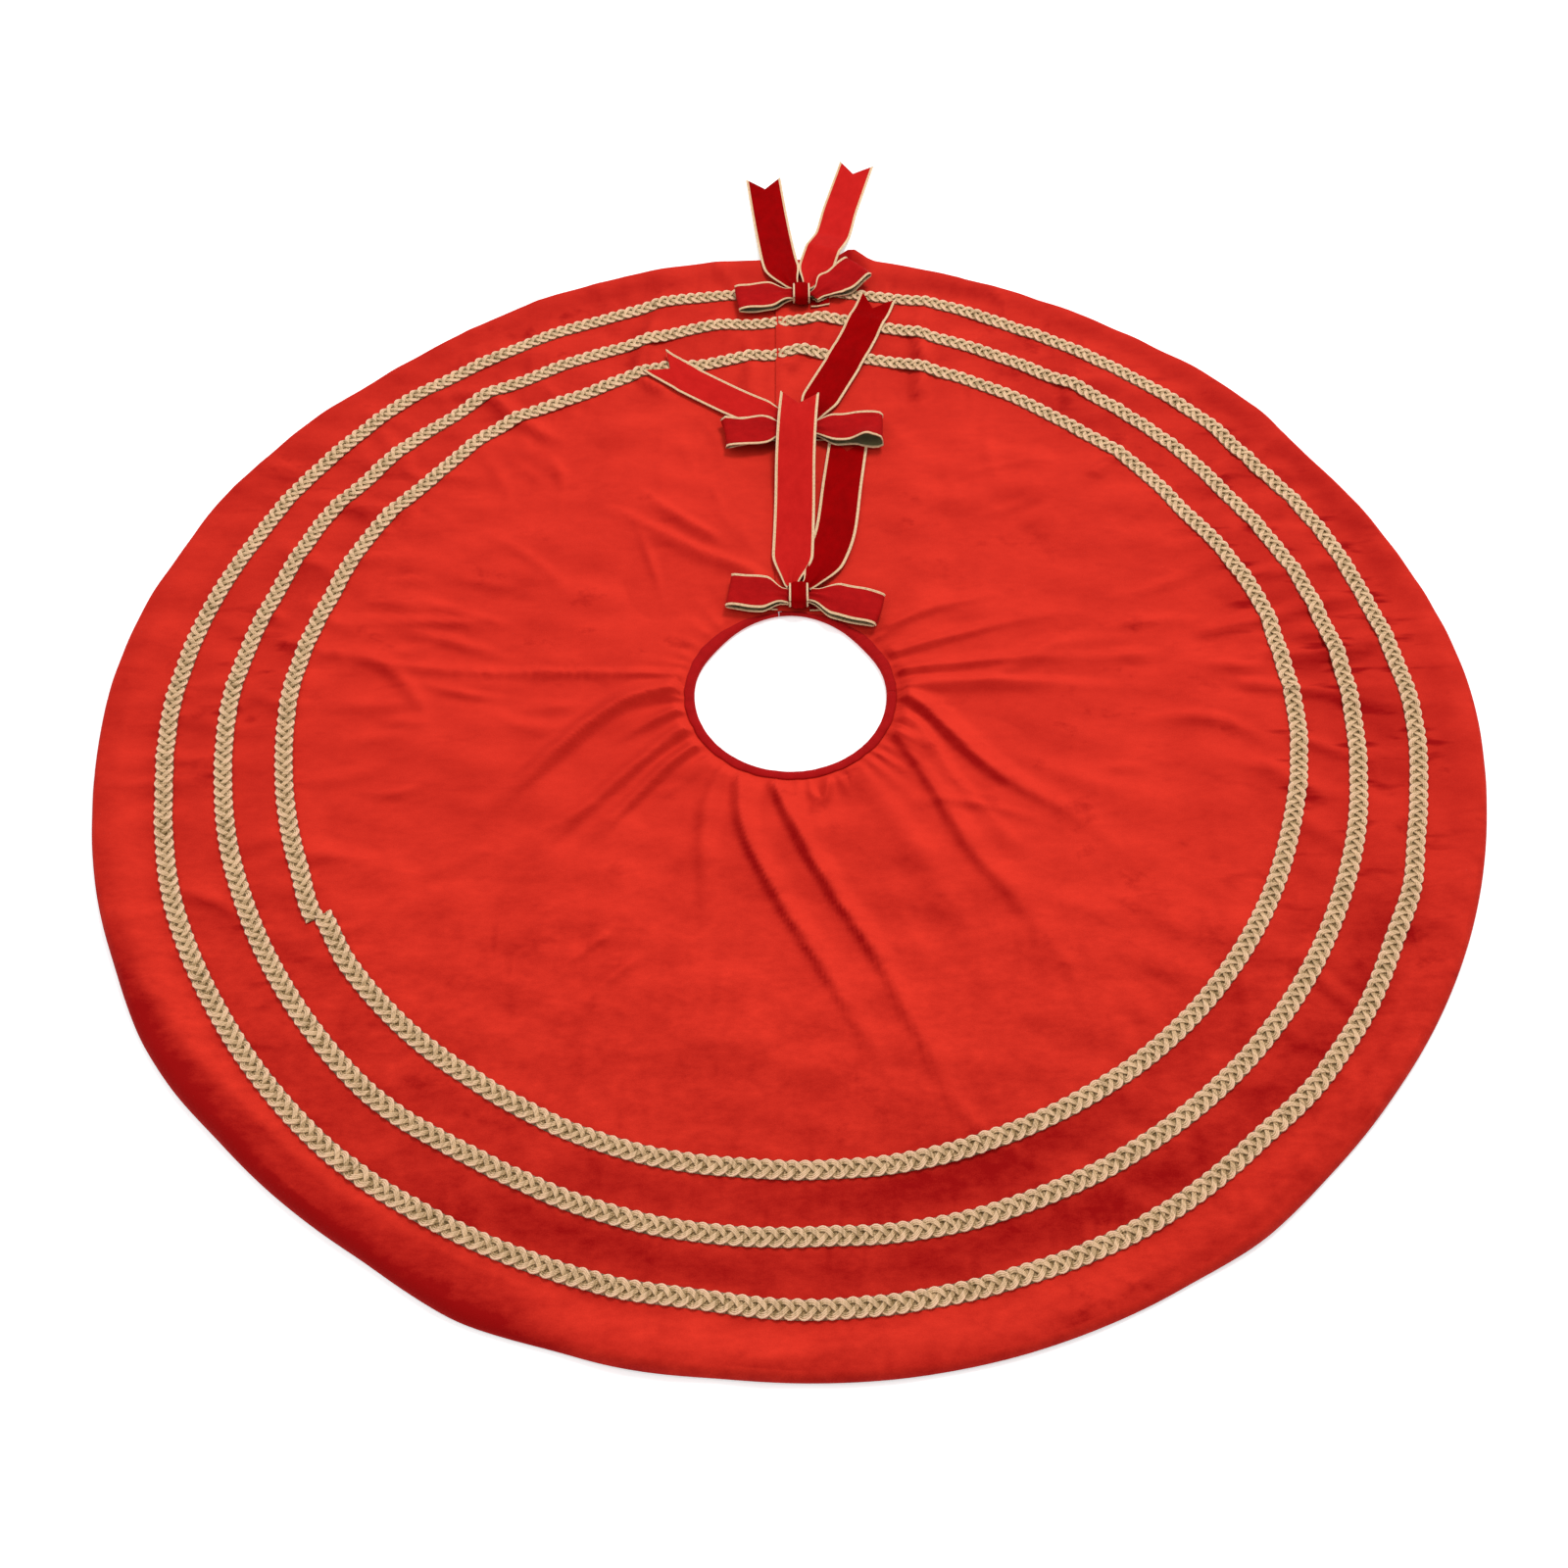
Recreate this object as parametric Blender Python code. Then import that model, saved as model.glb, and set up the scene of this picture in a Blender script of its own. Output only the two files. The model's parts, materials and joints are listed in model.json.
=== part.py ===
"""Round velvet tree skirt with a slit at the back, tied shut by three ribbon bows.

Metres, +Z up. The underside of the lining lies on z = 0, the slit runs towards +Y, and the
origin ends at the middle of the whole object's base. Everything is first laid out round the
centre of the trunk hole; an azimuth is measured clockwise from +Y, as seen from above.
"""
import math

import bmesh
import bpy
from mathutils import Matrix, Vector

# The skirt's plan
SKIRT_R = 0.610            # rim of the velvet, a 48 inch skirt
LINING_R = 0.605           # the lining stops just inside the rim
HOLE_R = 0.0865            # trunk hole, inside the neck binding
BINDING_R = 0.0957         # outer edge of the neck binding
SLIT_X = -0.010            # the slit lies a little left of the centre line
SLIT_GAP = 0.0010
FOLD_GAP = 0.0008          # clearance where the right flap folds, on the line y = 0
BRAID_RADII = {"inner": 0.450, "middle": 0.5015, "outer": 0.552}
BRAID_W = 0.016
SPLICE_AZIMUTH = 238.0     # where the inner braid's two lengths meet

# The layers, from the floor up
CLEAR = 0.0003
LINING_T = 0.0012
VELVET_T = 0.0025
BRAID_T = 0.0020
BINDING_T = 0.0011
VELVET_LOW = LINING_T + CLEAR
VELVET_TOP = VELVET_LOW + VELVET_T
BRAID_LOW = VELVET_TOP + CLEAR
BRAID_TOP = BRAID_LOW + BRAID_T
FOLD_Z = BRAID_TOP + 0.0002  # the flap turns just above its highest layer

# The ribbons
RIBBON_W = 0.038
RIBBON_T = 0.0009
NOTCH = 0.020              # depth of the V cut into each tail's end
KNOT_SIZE = (0.020, 0.028, 0.0155)
KNOT_LOW = BRAID_TOP + 0.0005
LOOP_Z = 0.0125            # height of the loops' hinges
LOOP_BASE_W = 0.014
TAIL_BASE_W = 0.014
TAIL_FULL_AT = 0.075       # how far from the knot a tail has opened to its full width
ROOT_W = 0.016
ROOT_REACH = 0.044         # how far from the middle line the ribbons are sewn down
FREE_GAP = 0.0008          # room for a tail's thickness to turn where it comes free

RING_STEPS = 60            # stations in three quarters of the round
TAIL_STEPS = 12
LOOP_STEPS = 16

COLOURS = {
    "velvet": (0.60, 0.03, 0.02),
    "lining": (0.42, 0.03, 0.03),
    "binding": (0.38, 0.01, 0.02),
    "braid": (0.62, 0.45, 0.23),
    "ribbon": (0.45, 0.01, 0.01),
}

# Each bow: its knot, its loops as (azimuth, length), and its tails' middle lines. A tail with
# a "held" number has that many of its stations held down under another tail, and its hinge
# where it comes out from under it.
BOWS = {
    "neck_bow": {
        "knot": (0.008, 0.108),
        "root_y": 0.105,
        "loops": {"left": (-82.0, 0.052), "right": (106.0, 0.063)},
        "tails": {
            "left": [(0.000, 0.126, 0.0120), (0.003, 0.165, 0.0095), (0.005, 0.225, 0.0095),
                     (0.006, 0.285, 0.0180), (0.008, 0.330, 0.0240), (0.011, 0.376, 0.0190)],
            "right": [(0.020, 0.126, 0.0115), (0.032, 0.155, 0.0090), (0.044, 0.195, 0.0075),
                      (0.052, 0.260, 0.0075), (0.060, 0.322, 0.0075)],
        },
        "held": {},
    },
    "middle_bow": {
        "knot": (0.010, 0.330),
        "root_y": 0.330,
        "loops": {"left": (-98.0, 0.060), "right": (90.0, 0.070)},
        "tails": {
            "left": [(0.000, 0.347, 0.0090), (-0.026, 0.356, 0.0096), (-0.056, 0.375, 0.0080),
                     (-0.096, 0.403, 0.0078), (-0.139, 0.434, 0.0078)],
            "right": [(0.020, 0.347, 0.0090), (0.029, 0.371, 0.0090), (0.042, 0.401, 0.0085),
                      (0.058, 0.437, 0.0078), (0.077, 0.484, 0.0078), (0.097, 0.537, 0.0078)],
        },
        "held": {"left": 3, "right": 4},
    },
    "hem_bow": {
        "knot": (0.014, 0.536),
        "root_y": 0.531,
        "loops": {"left": (-97.0, 0.056), "right": (49.0, 0.060)},
        "tails": {
            "left": [(0.002, 0.556, 0.0120), (-0.008, 0.590, 0.0085), (-0.015, 0.640, 0.0045),
                     (-0.022, 0.700, 0.0012), (-0.028, 0.754, 0.0012)],
            "right": [(0.024, 0.556, 0.0120), (0.033, 0.595, 0.0085), (0.050, 0.650, 0.0045),
                      (0.062, 0.710, 0.0012), (0.080, 0.781, 0.0012)],
        },
        "held": {},
    },
}


def clear_scene():
    for thing in list(bpy.data.objects):
        bpy.data.objects.remove(thing)


def cloth_material(kind):
    """One matt cloth material for a kind of piece."""
    material = bpy.data.materials.get(kind) or bpy.data.materials.new(kind)
    material.use_nodes = True
    shader = material.node_tree.nodes["Principled BSDF"]
    shader.inputs["Base Color"].default_value = (*COLOURS[kind], 1.0)
    shader.inputs["Roughness"].default_value = 0.85
    shader.inputs["Metallic"].default_value = 0.0
    return material


def heading(azimuth):
    """The level unit vector that points along an azimuth, in degrees clockwise from +Y."""
    return Vector((math.sin(math.radians(azimuth)), math.cos(math.radians(azimuth)), 0.0))


def pivot(name, point, parent=None):
    """An empty on a joint's axis, from which the pieces of one moving body hang."""
    empty = bpy.data.objects.new(name, None)
    bpy.context.collection.objects.link(empty)
    empty["point"] = tuple(point)
    empty.location = Vector(point)
    if parent:
        empty.parent = parent
        empty.location -= Vector(parent["point"])
    return empty


def add_piece(name, bm, kind, holder):
    """Turn a bmesh, laid out round the trunk hole, into a named piece that hangs from a pivot."""
    bmesh.ops.recalc_face_normals(bm, faces=bm.faces)
    mesh = bpy.data.meshes.new(name)
    bm.to_mesh(mesh)
    bm.free()
    mesh.materials.append(cloth_material(kind))
    mesh.transform(Matrix.Translation(-Vector(holder["point"])))
    piece = bpy.data.objects.new(name, mesh)
    bpy.context.collection.objects.link(piece)
    piece.parent = holder
    return piece


def loft(sections):
    """A closed solid through rings of points: side faces between the rings, a cap at each end."""
    bm = bmesh.new()
    rings = [[bm.verts.new(point) for point in section] for section in sections]
    count = len(rings[0])
    for ring, following in zip(rings, rings[1:]):
        for k in range(count):
            nxt = (k + 1) % count
            bm.faces.new((ring[k], ring[nxt], following[nxt], following[k]))
    for ring in (rings[0], rings[-1]):
        cap_ring(bm, ring)
    return bm


def cap_ring(bm, ring):
    """Cover a ring of points with quads between its first and second halves."""
    count = len(ring)
    for k in range(count // 2 - 1):
        bm.faces.new((ring[k], ring[k + 1], ring[count - 2 - k], ring[count - 1 - k]))


# Pieces that run round the skirt

def slit_left(radius):
    return 360.0 + math.degrees(math.asin((SLIT_X - SLIT_GAP / 2) / radius))


def slit_right(radius):
    return math.degrees(math.asin((SLIT_X + SLIT_GAP / 2) / radius))


def fold_on_flap(radius):
    return 90.0 - math.degrees(math.asin(FOLD_GAP / 2 / radius))


def fold_on_main(radius):
    return 90.0 + math.degrees(math.asin(FOLD_GAP / 2 / radius))


def splice_before(radius):
    return SPLICE_AZIMUTH - math.degrees(CLEAR / radius)


def splice_after(radius):
    return SPLICE_AZIMUTH + math.degrees(CLEAR / radius)


def swept_round(name, profile, start, end, kind, holder):
    """Carry a profile of (radius, height) points round the trunk hole, from azimuth
    start(radius) to azimuth end(radius), so that the ends follow straight cut lines."""
    middle = profile[0][0]
    steps = max(6, round(RING_STEPS * (end(middle) - start(middle)) / 270.0))
    sections = []
    for i in range(steps + 1):
        t = i / steps
        section = []
        for radius, height in profile:
            azimuth = start(radius) * (1.0 - t) + end(radius) * t
            section.append(heading(azimuth) * radius + Vector((0.0, 0.0, height)))
        sections.append(section)
    return add_piece(name, loft(sections), kind, holder)


def flat_profile(inner, outer, low, high):
    return [(inner, low), (outer, low), (outer, high), (inner, high)]


def binding_profile():
    """A folded strip round the neck edge: a wall inside, with a lip below and a lip above. It
    starts at the lower lip's outer edge, so that the end caps' quads fill its C shape."""
    floor = 0.0002
    wall = HOLE_R + BINDING_T * 2
    upper = VELVET_TOP + CLEAR
    top = upper + BINDING_T
    return [(BINDING_R, floor), (HOLE_R, floor), (HOLE_R, top), (BINDING_R, top),
            (BINDING_R, upper), (wall, upper), (wall, BINDING_T), (BINDING_R, BINDING_T)]


def build_cloth(main, flap):
    """Velvet, lining, neck binding and braids, each cut at the fold of the right flap."""
    velvet_inner = HOLE_R + BINDING_T * 2 + CLEAR
    lining_inner = BINDING_R + CLEAR
    layers = {
        "velvet": (flat_profile(velvet_inner, SKIRT_R, VELVET_LOW, VELVET_TOP), "velvet"),
        "lining": (flat_profile(lining_inner, LINING_R, 0.0, LINING_T), "lining"),
        "neck_binding": (binding_profile(), "binding"),
    }
    for size in ("outer", "middle"):
        radius = BRAID_RADII[size]
        profile = flat_profile(radius - BRAID_W / 2, radius + BRAID_W / 2, BRAID_LOW, BRAID_TOP)
        layers[f"{size}_braid"] = (profile, "braid")
    for name, (profile, kind) in layers.items():
        swept_round(f"{name}_main", profile, fold_on_main, slit_left, kind, main)
        swept_round(f"{name}_flap", profile, slit_right, fold_on_flap, kind, flap)
    radius = BRAID_RADII["inner"]
    profile = flat_profile(radius - BRAID_W / 2, radius + BRAID_W / 2, BRAID_LOW, BRAID_TOP)
    swept_round("inner_braid_flap", profile, slit_right, fold_on_flap, "braid", flap)
    swept_round("inner_braid_front", profile, fold_on_main, splice_before, "braid", main)
    swept_round("inner_braid_left", profile, splice_after, slit_left, "braid", main)


# Ribbons

def smooth_line(points, steps):
    """Evenly numbered stations on a Catmull-Rom curve through the given points."""
    knots = [Vector(point) for point in points]
    knots = [knots[0] * 2 - knots[1], *knots, knots[-1] * 2 - knots[-2]]
    stations = []
    spans = len(points) - 1
    for i in range(steps + 1):
        place = i / steps * spans
        k = min(int(place), spans - 1)
        t = place - k
        a, b, c, d = knots[k:k + 4]
        station = b * 2 + (c - a) * t + (a * 2 - b * 5 + c * 4 - d) * t ** 2
        station += (b * 3 - a - c * 3 + d) * t ** 3
        stations.append(station / 2)
    return stations


def directions(line):
    """The unit vector along a line at each of its stations."""
    last = len(line) - 1
    return [(line[min(i + 1, last)] - line[max(i - 1, 0)]).normalized() for i in range(last + 1)]


def strip(line, aheads, sides, widths, notch=0.0):
    """A ribbon along a line: across each station lie a left edge, a middle and a right edge,
    on the ribbon's upper and lower faces. A notch pulls the last middle points back."""
    sections = []
    for station, ahead, side, width in zip(line, aheads, sides, widths):
        up = side.cross(ahead).normalized() * RIBBON_T / 2
        half = side * width / 2
        middle = station - ahead * notch if len(sections) == len(line) - 1 else station
        sections.append([station - half - up, middle - up, station + half - up,
                         station + half + up, middle + up, station - half + up])
    return loft(sections)


def tapering_widths(line):
    """Widths that grow smoothly from the gathered start to the full ribbon."""
    widths = []
    gone = 0.0
    for i, station in enumerate(line):
        if i:
            gone += (station - line[i - 1]).length
        t = min(gone / TAIL_FULL_AT, 1.0)
        widths.append(TAIL_BASE_W + (RIBBON_W - TAIL_BASE_W) * t * t * (3.0 - 2.0 * t))
    return widths


def build_tail(name, points, held, flap):
    """A tail on a hinge across its line. Its first stretch stays on the flap where another
    tail holds it down."""
    line = smooth_line(points, TAIL_STEPS)
    aheads = directions(line)
    sides = [Vector((ahead.y, -ahead.x, 0.0)).normalized() for ahead in aheads]
    widths = tapering_widths(line)
    hinge = pivot(f"{name}_hinge", line[held], flap)
    if held:
        end = held + 1
        stretch = line[:held] + [line[held] - aheads[held] * FREE_GAP]
        bm = strip(stretch, aheads[:end], sides[:end], widths[:end])
        add_piece(f"{name}_held", bm, "ribbon", flap)
    bm = strip(line[held:], aheads[held:], sides[held:], widths[held:], notch=NOTCH)
    add_piece(name, bm, "ribbon", hinge)


def build_loop(name, base, azimuth, length, holder):
    """A loop as one bent strip: out along the top, round the tip and back along the bottom,
    narrow where the knot gathers it."""
    away = heading(azimuth)
    outline = [(0.000, 0.0020), (0.20, 0.0048), (0.50, 0.0060), (0.85, 0.0052), (1.00, 0.0008),
               (0.85, -0.0034), (0.50, -0.0038), (0.20, -0.0034), (0.000, -0.0016)]
    points = [base + away * length * along + Vector((0.0, 0.0, up)) for along, up in outline]
    line = smooth_line(points, LOOP_STEPS)
    side = away.cross(Vector((0.0, 0.0, 1.0)))
    widths = []
    for station in line:
        t = min(max((station - base).dot(away) / (0.5 * length), 0.0), 1.0)
        widths.append(LOOP_BASE_W + (RIBBON_W - LOOP_BASE_W) * t * t * (3.0 - 2.0 * t))
    bm = strip(line, directions(line), [side] * len(line), widths)
    return add_piece(name, bm, "ribbon", holder)


def build_knot(name, centre, holder):
    """A small pillow with rounded edges."""
    bm = bmesh.new()
    bmesh.ops.create_cube(bm, size=1.0)
    bmesh.ops.scale(bm, vec=KNOT_SIZE, verts=bm.verts)
    bmesh.ops.bevel(bm, geom=bm.edges[:], offset=0.0045, segments=2, profile=0.6, affect="EDGES")
    height = KNOT_LOW + KNOT_SIZE[2] / 2
    bmesh.ops.translate(bm, vec=Vector((centre[0], centre[1], height)), verts=bm.verts)
    return add_piece(name, bm, "ribbon", holder)


def build_root(name, x_from, x_to, y, holder):
    """The flat end of a ribbon, sewn down beside the slit."""
    height = BRAID_LOW + RIBBON_T / 2
    line = [Vector((x_from, y, height)), Vector((x_to, y, height))]
    side = Vector((0.0, -1.0, 0.0))
    bm = strip(line, directions(line), [side] * 2, [ROOT_W] * 2)
    return add_piece(name, bm, "ribbon", holder)


def build_bow(bow, plan, main, flap):
    """One bow: its knot and sewn ends, and two loops and two tails, each on its own hinge."""
    knot_x, knot_y = plan["knot"]
    build_knot(f"{bow}_knot", plan["knot"], flap)
    build_root(f"{bow}_left_root", -ROOT_REACH, SLIT_X - SLIT_GAP, plan["root_y"], main)
    knot_side = knot_x + KNOT_SIZE[0] / 2 + CLEAR
    build_root(f"{bow}_right_root", knot_side, ROOT_REACH, plan["root_y"], flap)
    for side, (azimuth, length) in plan["loops"].items():
        sign = -1.0 if side == "left" else 1.0
        turned_in = LOOP_BASE_W / 2 * abs(heading(azimuth).y)
        reach = KNOT_SIZE[0] / 2 + 0.003 + turned_in
        base = Vector((knot_x + sign * reach, knot_y, LOOP_Z))
        name = f"{bow}_{side}_loop"
        build_loop(name, base, azimuth, length, pivot(f"{name}_hinge", base, flap))
    for side, points in plan["tails"].items():
        build_tail(f"{bow}_{side}_tail", points, plan["held"].get(side, 0), flap)


def stand_on_origin(centre):
    """Move the whole object so that the origin is the middle of its base."""
    bpy.context.view_layer.update()
    corners = []
    for thing in bpy.data.objects:
        if thing.type == "MESH":
            corners += [thing.matrix_world @ Vector(corner) for corner in thing.bound_box]
    for axis in range(2):
        values = [corner[axis] for corner in corners]
        centre.location[axis] -= (min(values) + max(values)) / 2


def main():
    clear_scene()
    centre = pivot("trunk_hole_centre", (0.0, 0.0, 0.0))
    flap = pivot("right_flap_hinge", (0.0, 0.0, FOLD_Z), centre)
    build_cloth(centre, flap)
    for bow, plan in BOWS.items():
        build_bow(bow, plan, centre, flap)
    stand_on_origin(centre)


main()
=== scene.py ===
"""Looks of a round velvet tree skirt with three rings of gimp braid and three ribbon bows.

Every cloth piece is a surface worked out on a grid. The velvet, the lining, the neck binding and
the braids share one plan, in polar coordinates round the trunk hole: an azimuth is measured in
degrees clockwise from the slit, which runs towards +Y, and a radius in metres.
"""
import json
import math

import bpy
import numpy as np
from mathutils import Euler, Matrix, Vector


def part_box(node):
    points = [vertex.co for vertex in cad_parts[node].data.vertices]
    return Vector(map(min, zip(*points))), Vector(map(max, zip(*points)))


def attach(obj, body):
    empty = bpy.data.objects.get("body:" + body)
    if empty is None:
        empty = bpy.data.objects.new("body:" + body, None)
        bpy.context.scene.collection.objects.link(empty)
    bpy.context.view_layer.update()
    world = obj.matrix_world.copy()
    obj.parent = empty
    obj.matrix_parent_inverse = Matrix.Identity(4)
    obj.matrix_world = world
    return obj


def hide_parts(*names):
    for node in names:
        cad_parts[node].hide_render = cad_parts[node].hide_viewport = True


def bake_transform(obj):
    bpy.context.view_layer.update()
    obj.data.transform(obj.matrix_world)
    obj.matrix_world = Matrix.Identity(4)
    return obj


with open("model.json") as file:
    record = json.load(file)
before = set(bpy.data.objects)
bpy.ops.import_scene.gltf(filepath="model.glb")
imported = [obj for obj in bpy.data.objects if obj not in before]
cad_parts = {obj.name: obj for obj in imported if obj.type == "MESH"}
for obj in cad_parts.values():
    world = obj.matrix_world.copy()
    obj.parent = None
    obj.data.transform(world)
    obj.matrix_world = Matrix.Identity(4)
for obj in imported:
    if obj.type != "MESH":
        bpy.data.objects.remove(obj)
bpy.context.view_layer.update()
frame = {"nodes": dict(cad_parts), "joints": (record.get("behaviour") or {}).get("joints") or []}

JOINTS = {joint["name"]: joint for joint in frame["joints"]}
FLAP_HINGE = JOINTS["right_flap_fold"]["pos_m"]
CENTRE = np.array([FLAP_HINGE[0], FLAP_HINGE[1], 0.0])   # the trunk hole's centre, on the floor

# The skirt's plan, from the frame
VELVET_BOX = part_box("velvet_main")
LINING_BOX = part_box("lining_main")
BINDING_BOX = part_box("neck_binding_flap")
SKIRT_R = VELVET_BOX[1].x - CENTRE[0]
LINING_R = LINING_BOX[1].x - CENTRE[0]
VELVET_Z = VELVET_BOX[1].z
LINING_Z = LINING_BOX[1].z
BINDING_R = BINDING_BOX[1].x - CENTRE[0]
BINDING_W = 0.0092
HOLE_R = BINDING_R - BINDING_W
SLIT_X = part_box("velvet_flap")[0].x - CENTRE[0]
BRAID_W = 0.0160
BRAID_R = {ring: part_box(f"{ring}_braid_flap")[1].x - CENTRE[0] - BRAID_W / 2
           for ring in ("inner", "middle", "outer")}
SPLICE_AZIMUTH = 238.0
OVERLAP = 0.004            # how far the right edge of the slit lies over the left one

VELVET_THICK = 0.0011
RIBBON_W = 0.038
EDGE_W = 0.0019            # the woven gold edge of a ribbon
RIBBON_THICK = 0.0005
RIBBON_STEP = 0.0030       # between two rows of a ribbon's grid
WIRE_R = 0.00085           # the wired bead along each gold edge
NOTCH = 0.020              # depth of the cut in a tail's end


# Small numerical helpers

WAVES = 18                 # plane waves summed in one noise

def smooth(t):
    """The smooth step from 0 to 1: three t squared less two t cubed, held flat outside."""
    t = np.clip(t, 0.0, 1.0)
    return t * t * (3.0 - 2.0 * t)


def bell(distance, width):
    """A Gaussian bell of height 1 that falls to 1/e at the width."""
    return np.exp(-(distance / width) ** 2)


def curve_through(points, count):
    """A Catmull-Rom curve through the points, sampled at evenly spaced parameters."""
    points = np.asarray(points, float)
    ends = [2 * points[0] - points[1]], [2 * points[-1] - points[-2]]
    p = np.concatenate([ends[0], points, ends[1]])
    place = np.linspace(0.0, len(points) - 1, count)
    k = np.minimum(place.astype(int), len(points) - 2)
    t = (place - k)[:, None]
    a, b, c, d = p[k], p[k + 1], p[k + 2], p[k + 3]
    return 0.5 * (2 * b + (c - a) * t + (2 * a - 5 * b + 4 * c - d) * t ** 2
                  + (3 * b - a - 3 * c + d) * t ** 3)


def unit(vectors):
    return vectors / np.maximum(np.linalg.norm(vectors, axis=-1, keepdims=True), 1e-12)


def distances(line):
    """Distances along a line of points, measured from its first point."""
    steps = np.linalg.norm(np.diff(line, axis=0), axis=1)
    return np.concatenate([[0.0], np.cumsum(steps)])


def waves(x, y, length, seed):
    """Smooth noise of about -1 to 1: a sum of plane waves near one wavelength, whose directions
    and phases are drawn from a seeded generator."""
    draw = np.random.default_rng(seed)
    total = np.zeros(np.shape(x))
    for _ in range(WAVES):
        turn = draw.uniform(0.0, math.tau)
        size = math.tau / (length * draw.uniform(0.75, 1.35))
        phase = draw.uniform(0.0, math.tau)
        total += np.cos(size * (x * math.cos(turn) + y * math.sin(turn)) + phase)
    return total / math.sqrt(WAVES / 2.0)


def round_table(table):
    """A function of azimuth, periodic over the turn, through {azimuth: value} pairs, with its
    corners rounded over about two degrees."""
    angles = np.array(sorted(table))
    values = np.array([table[angle] for angle in angles])
    turn = np.arange(0.0, 360.0, 0.5)
    straight = np.interp(turn, angles, values, period=360.0)
    weights = bell(np.arange(-8, 9) * 0.5, 1.6)
    padded = np.concatenate([straight[-8:], straight, straight[:8]])
    rounded = np.convolve(padded, weights / weights.sum(), "valid")
    return lambda azimuth: np.interp(np.mod(azimuth, 360.0), turn, rounded, period=360.0)


def polar(x, y):
    """Azimuths from 0 to 360 degrees, and radii, of plan points."""
    return np.degrees(np.arctan2(x, y)) % 360.0, np.hypot(x, y)


def degrees_past(azimuth, start):
    """How far clockwise of a start an azimuth lies, from -180 to 180 degrees."""
    return (azimuth - start + 180.0) % 360.0 - 180.0


def plan_point(azimuth, radius):
    """Plan coordinates of an azimuth and a radius, as the last axis of the result."""
    angle = np.radians(azimuth)
    return np.stack([radius * np.sin(angle), radius * np.cos(angle)], axis=-1)


# How the cloth lies: one height over the plan, round the trunk hole

RIM_WAVER = round_table({
    0: -1, 10: 0, 30: -7, 42: -9, 53: -4, 59: -10, 69: -5, 81: -2, 90: 1, 100: -2, 130: -5,
    154: 0, 173: -2, 185: -5, 193: -1, 220: -1, 235: -2, 250: 1, 260: 0, 270: 3, 280: 3,
    303: -9, 322: -13, 330: -10, 340: -7, 353: 1})        # millimetres outwards
RIM_ROLL = round_table({
    0: 5, 90: 6, 120: 8, 150: 7, 180: 7, 200: 10, 222: 12, 240: 9, 255: 6, 270: 6,
    330: 5})                                              # millimetres, radius of the rim's turn
RIM_RISE = round_table({
    0: 3, 60: 3, 90: 4, 130: 5, 165: 4, 195: 5, 220: 7, 240: 5, 260: 4, 300: 3,
    340: 3})                                              # millimetres, how high the rim stands

# The hem's own unevenness outside the braids, in millimetres outwards
HEM_TRIM = round_table({
    0: -3, 10: 0, 18: -5, 30: -4, 40: -2, 45: 0, 51: -4, 60: -5, 72: -4, 85: -1, 100: 0,
    139: -1, 146: 2, 152: -2, 165: 0, 190: 0, 196: -2, 203: 3, 211: -4, 217: -3, 226: -1,
    231: 4, 236: 6, 243: 1, 260: 0, 280: -3, 287: -4, 293: 1, 299: -2, 305: -1, 311: -6,
    318: -5, 324: -3, 335: 0, 343: -2, 352: -4})

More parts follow.
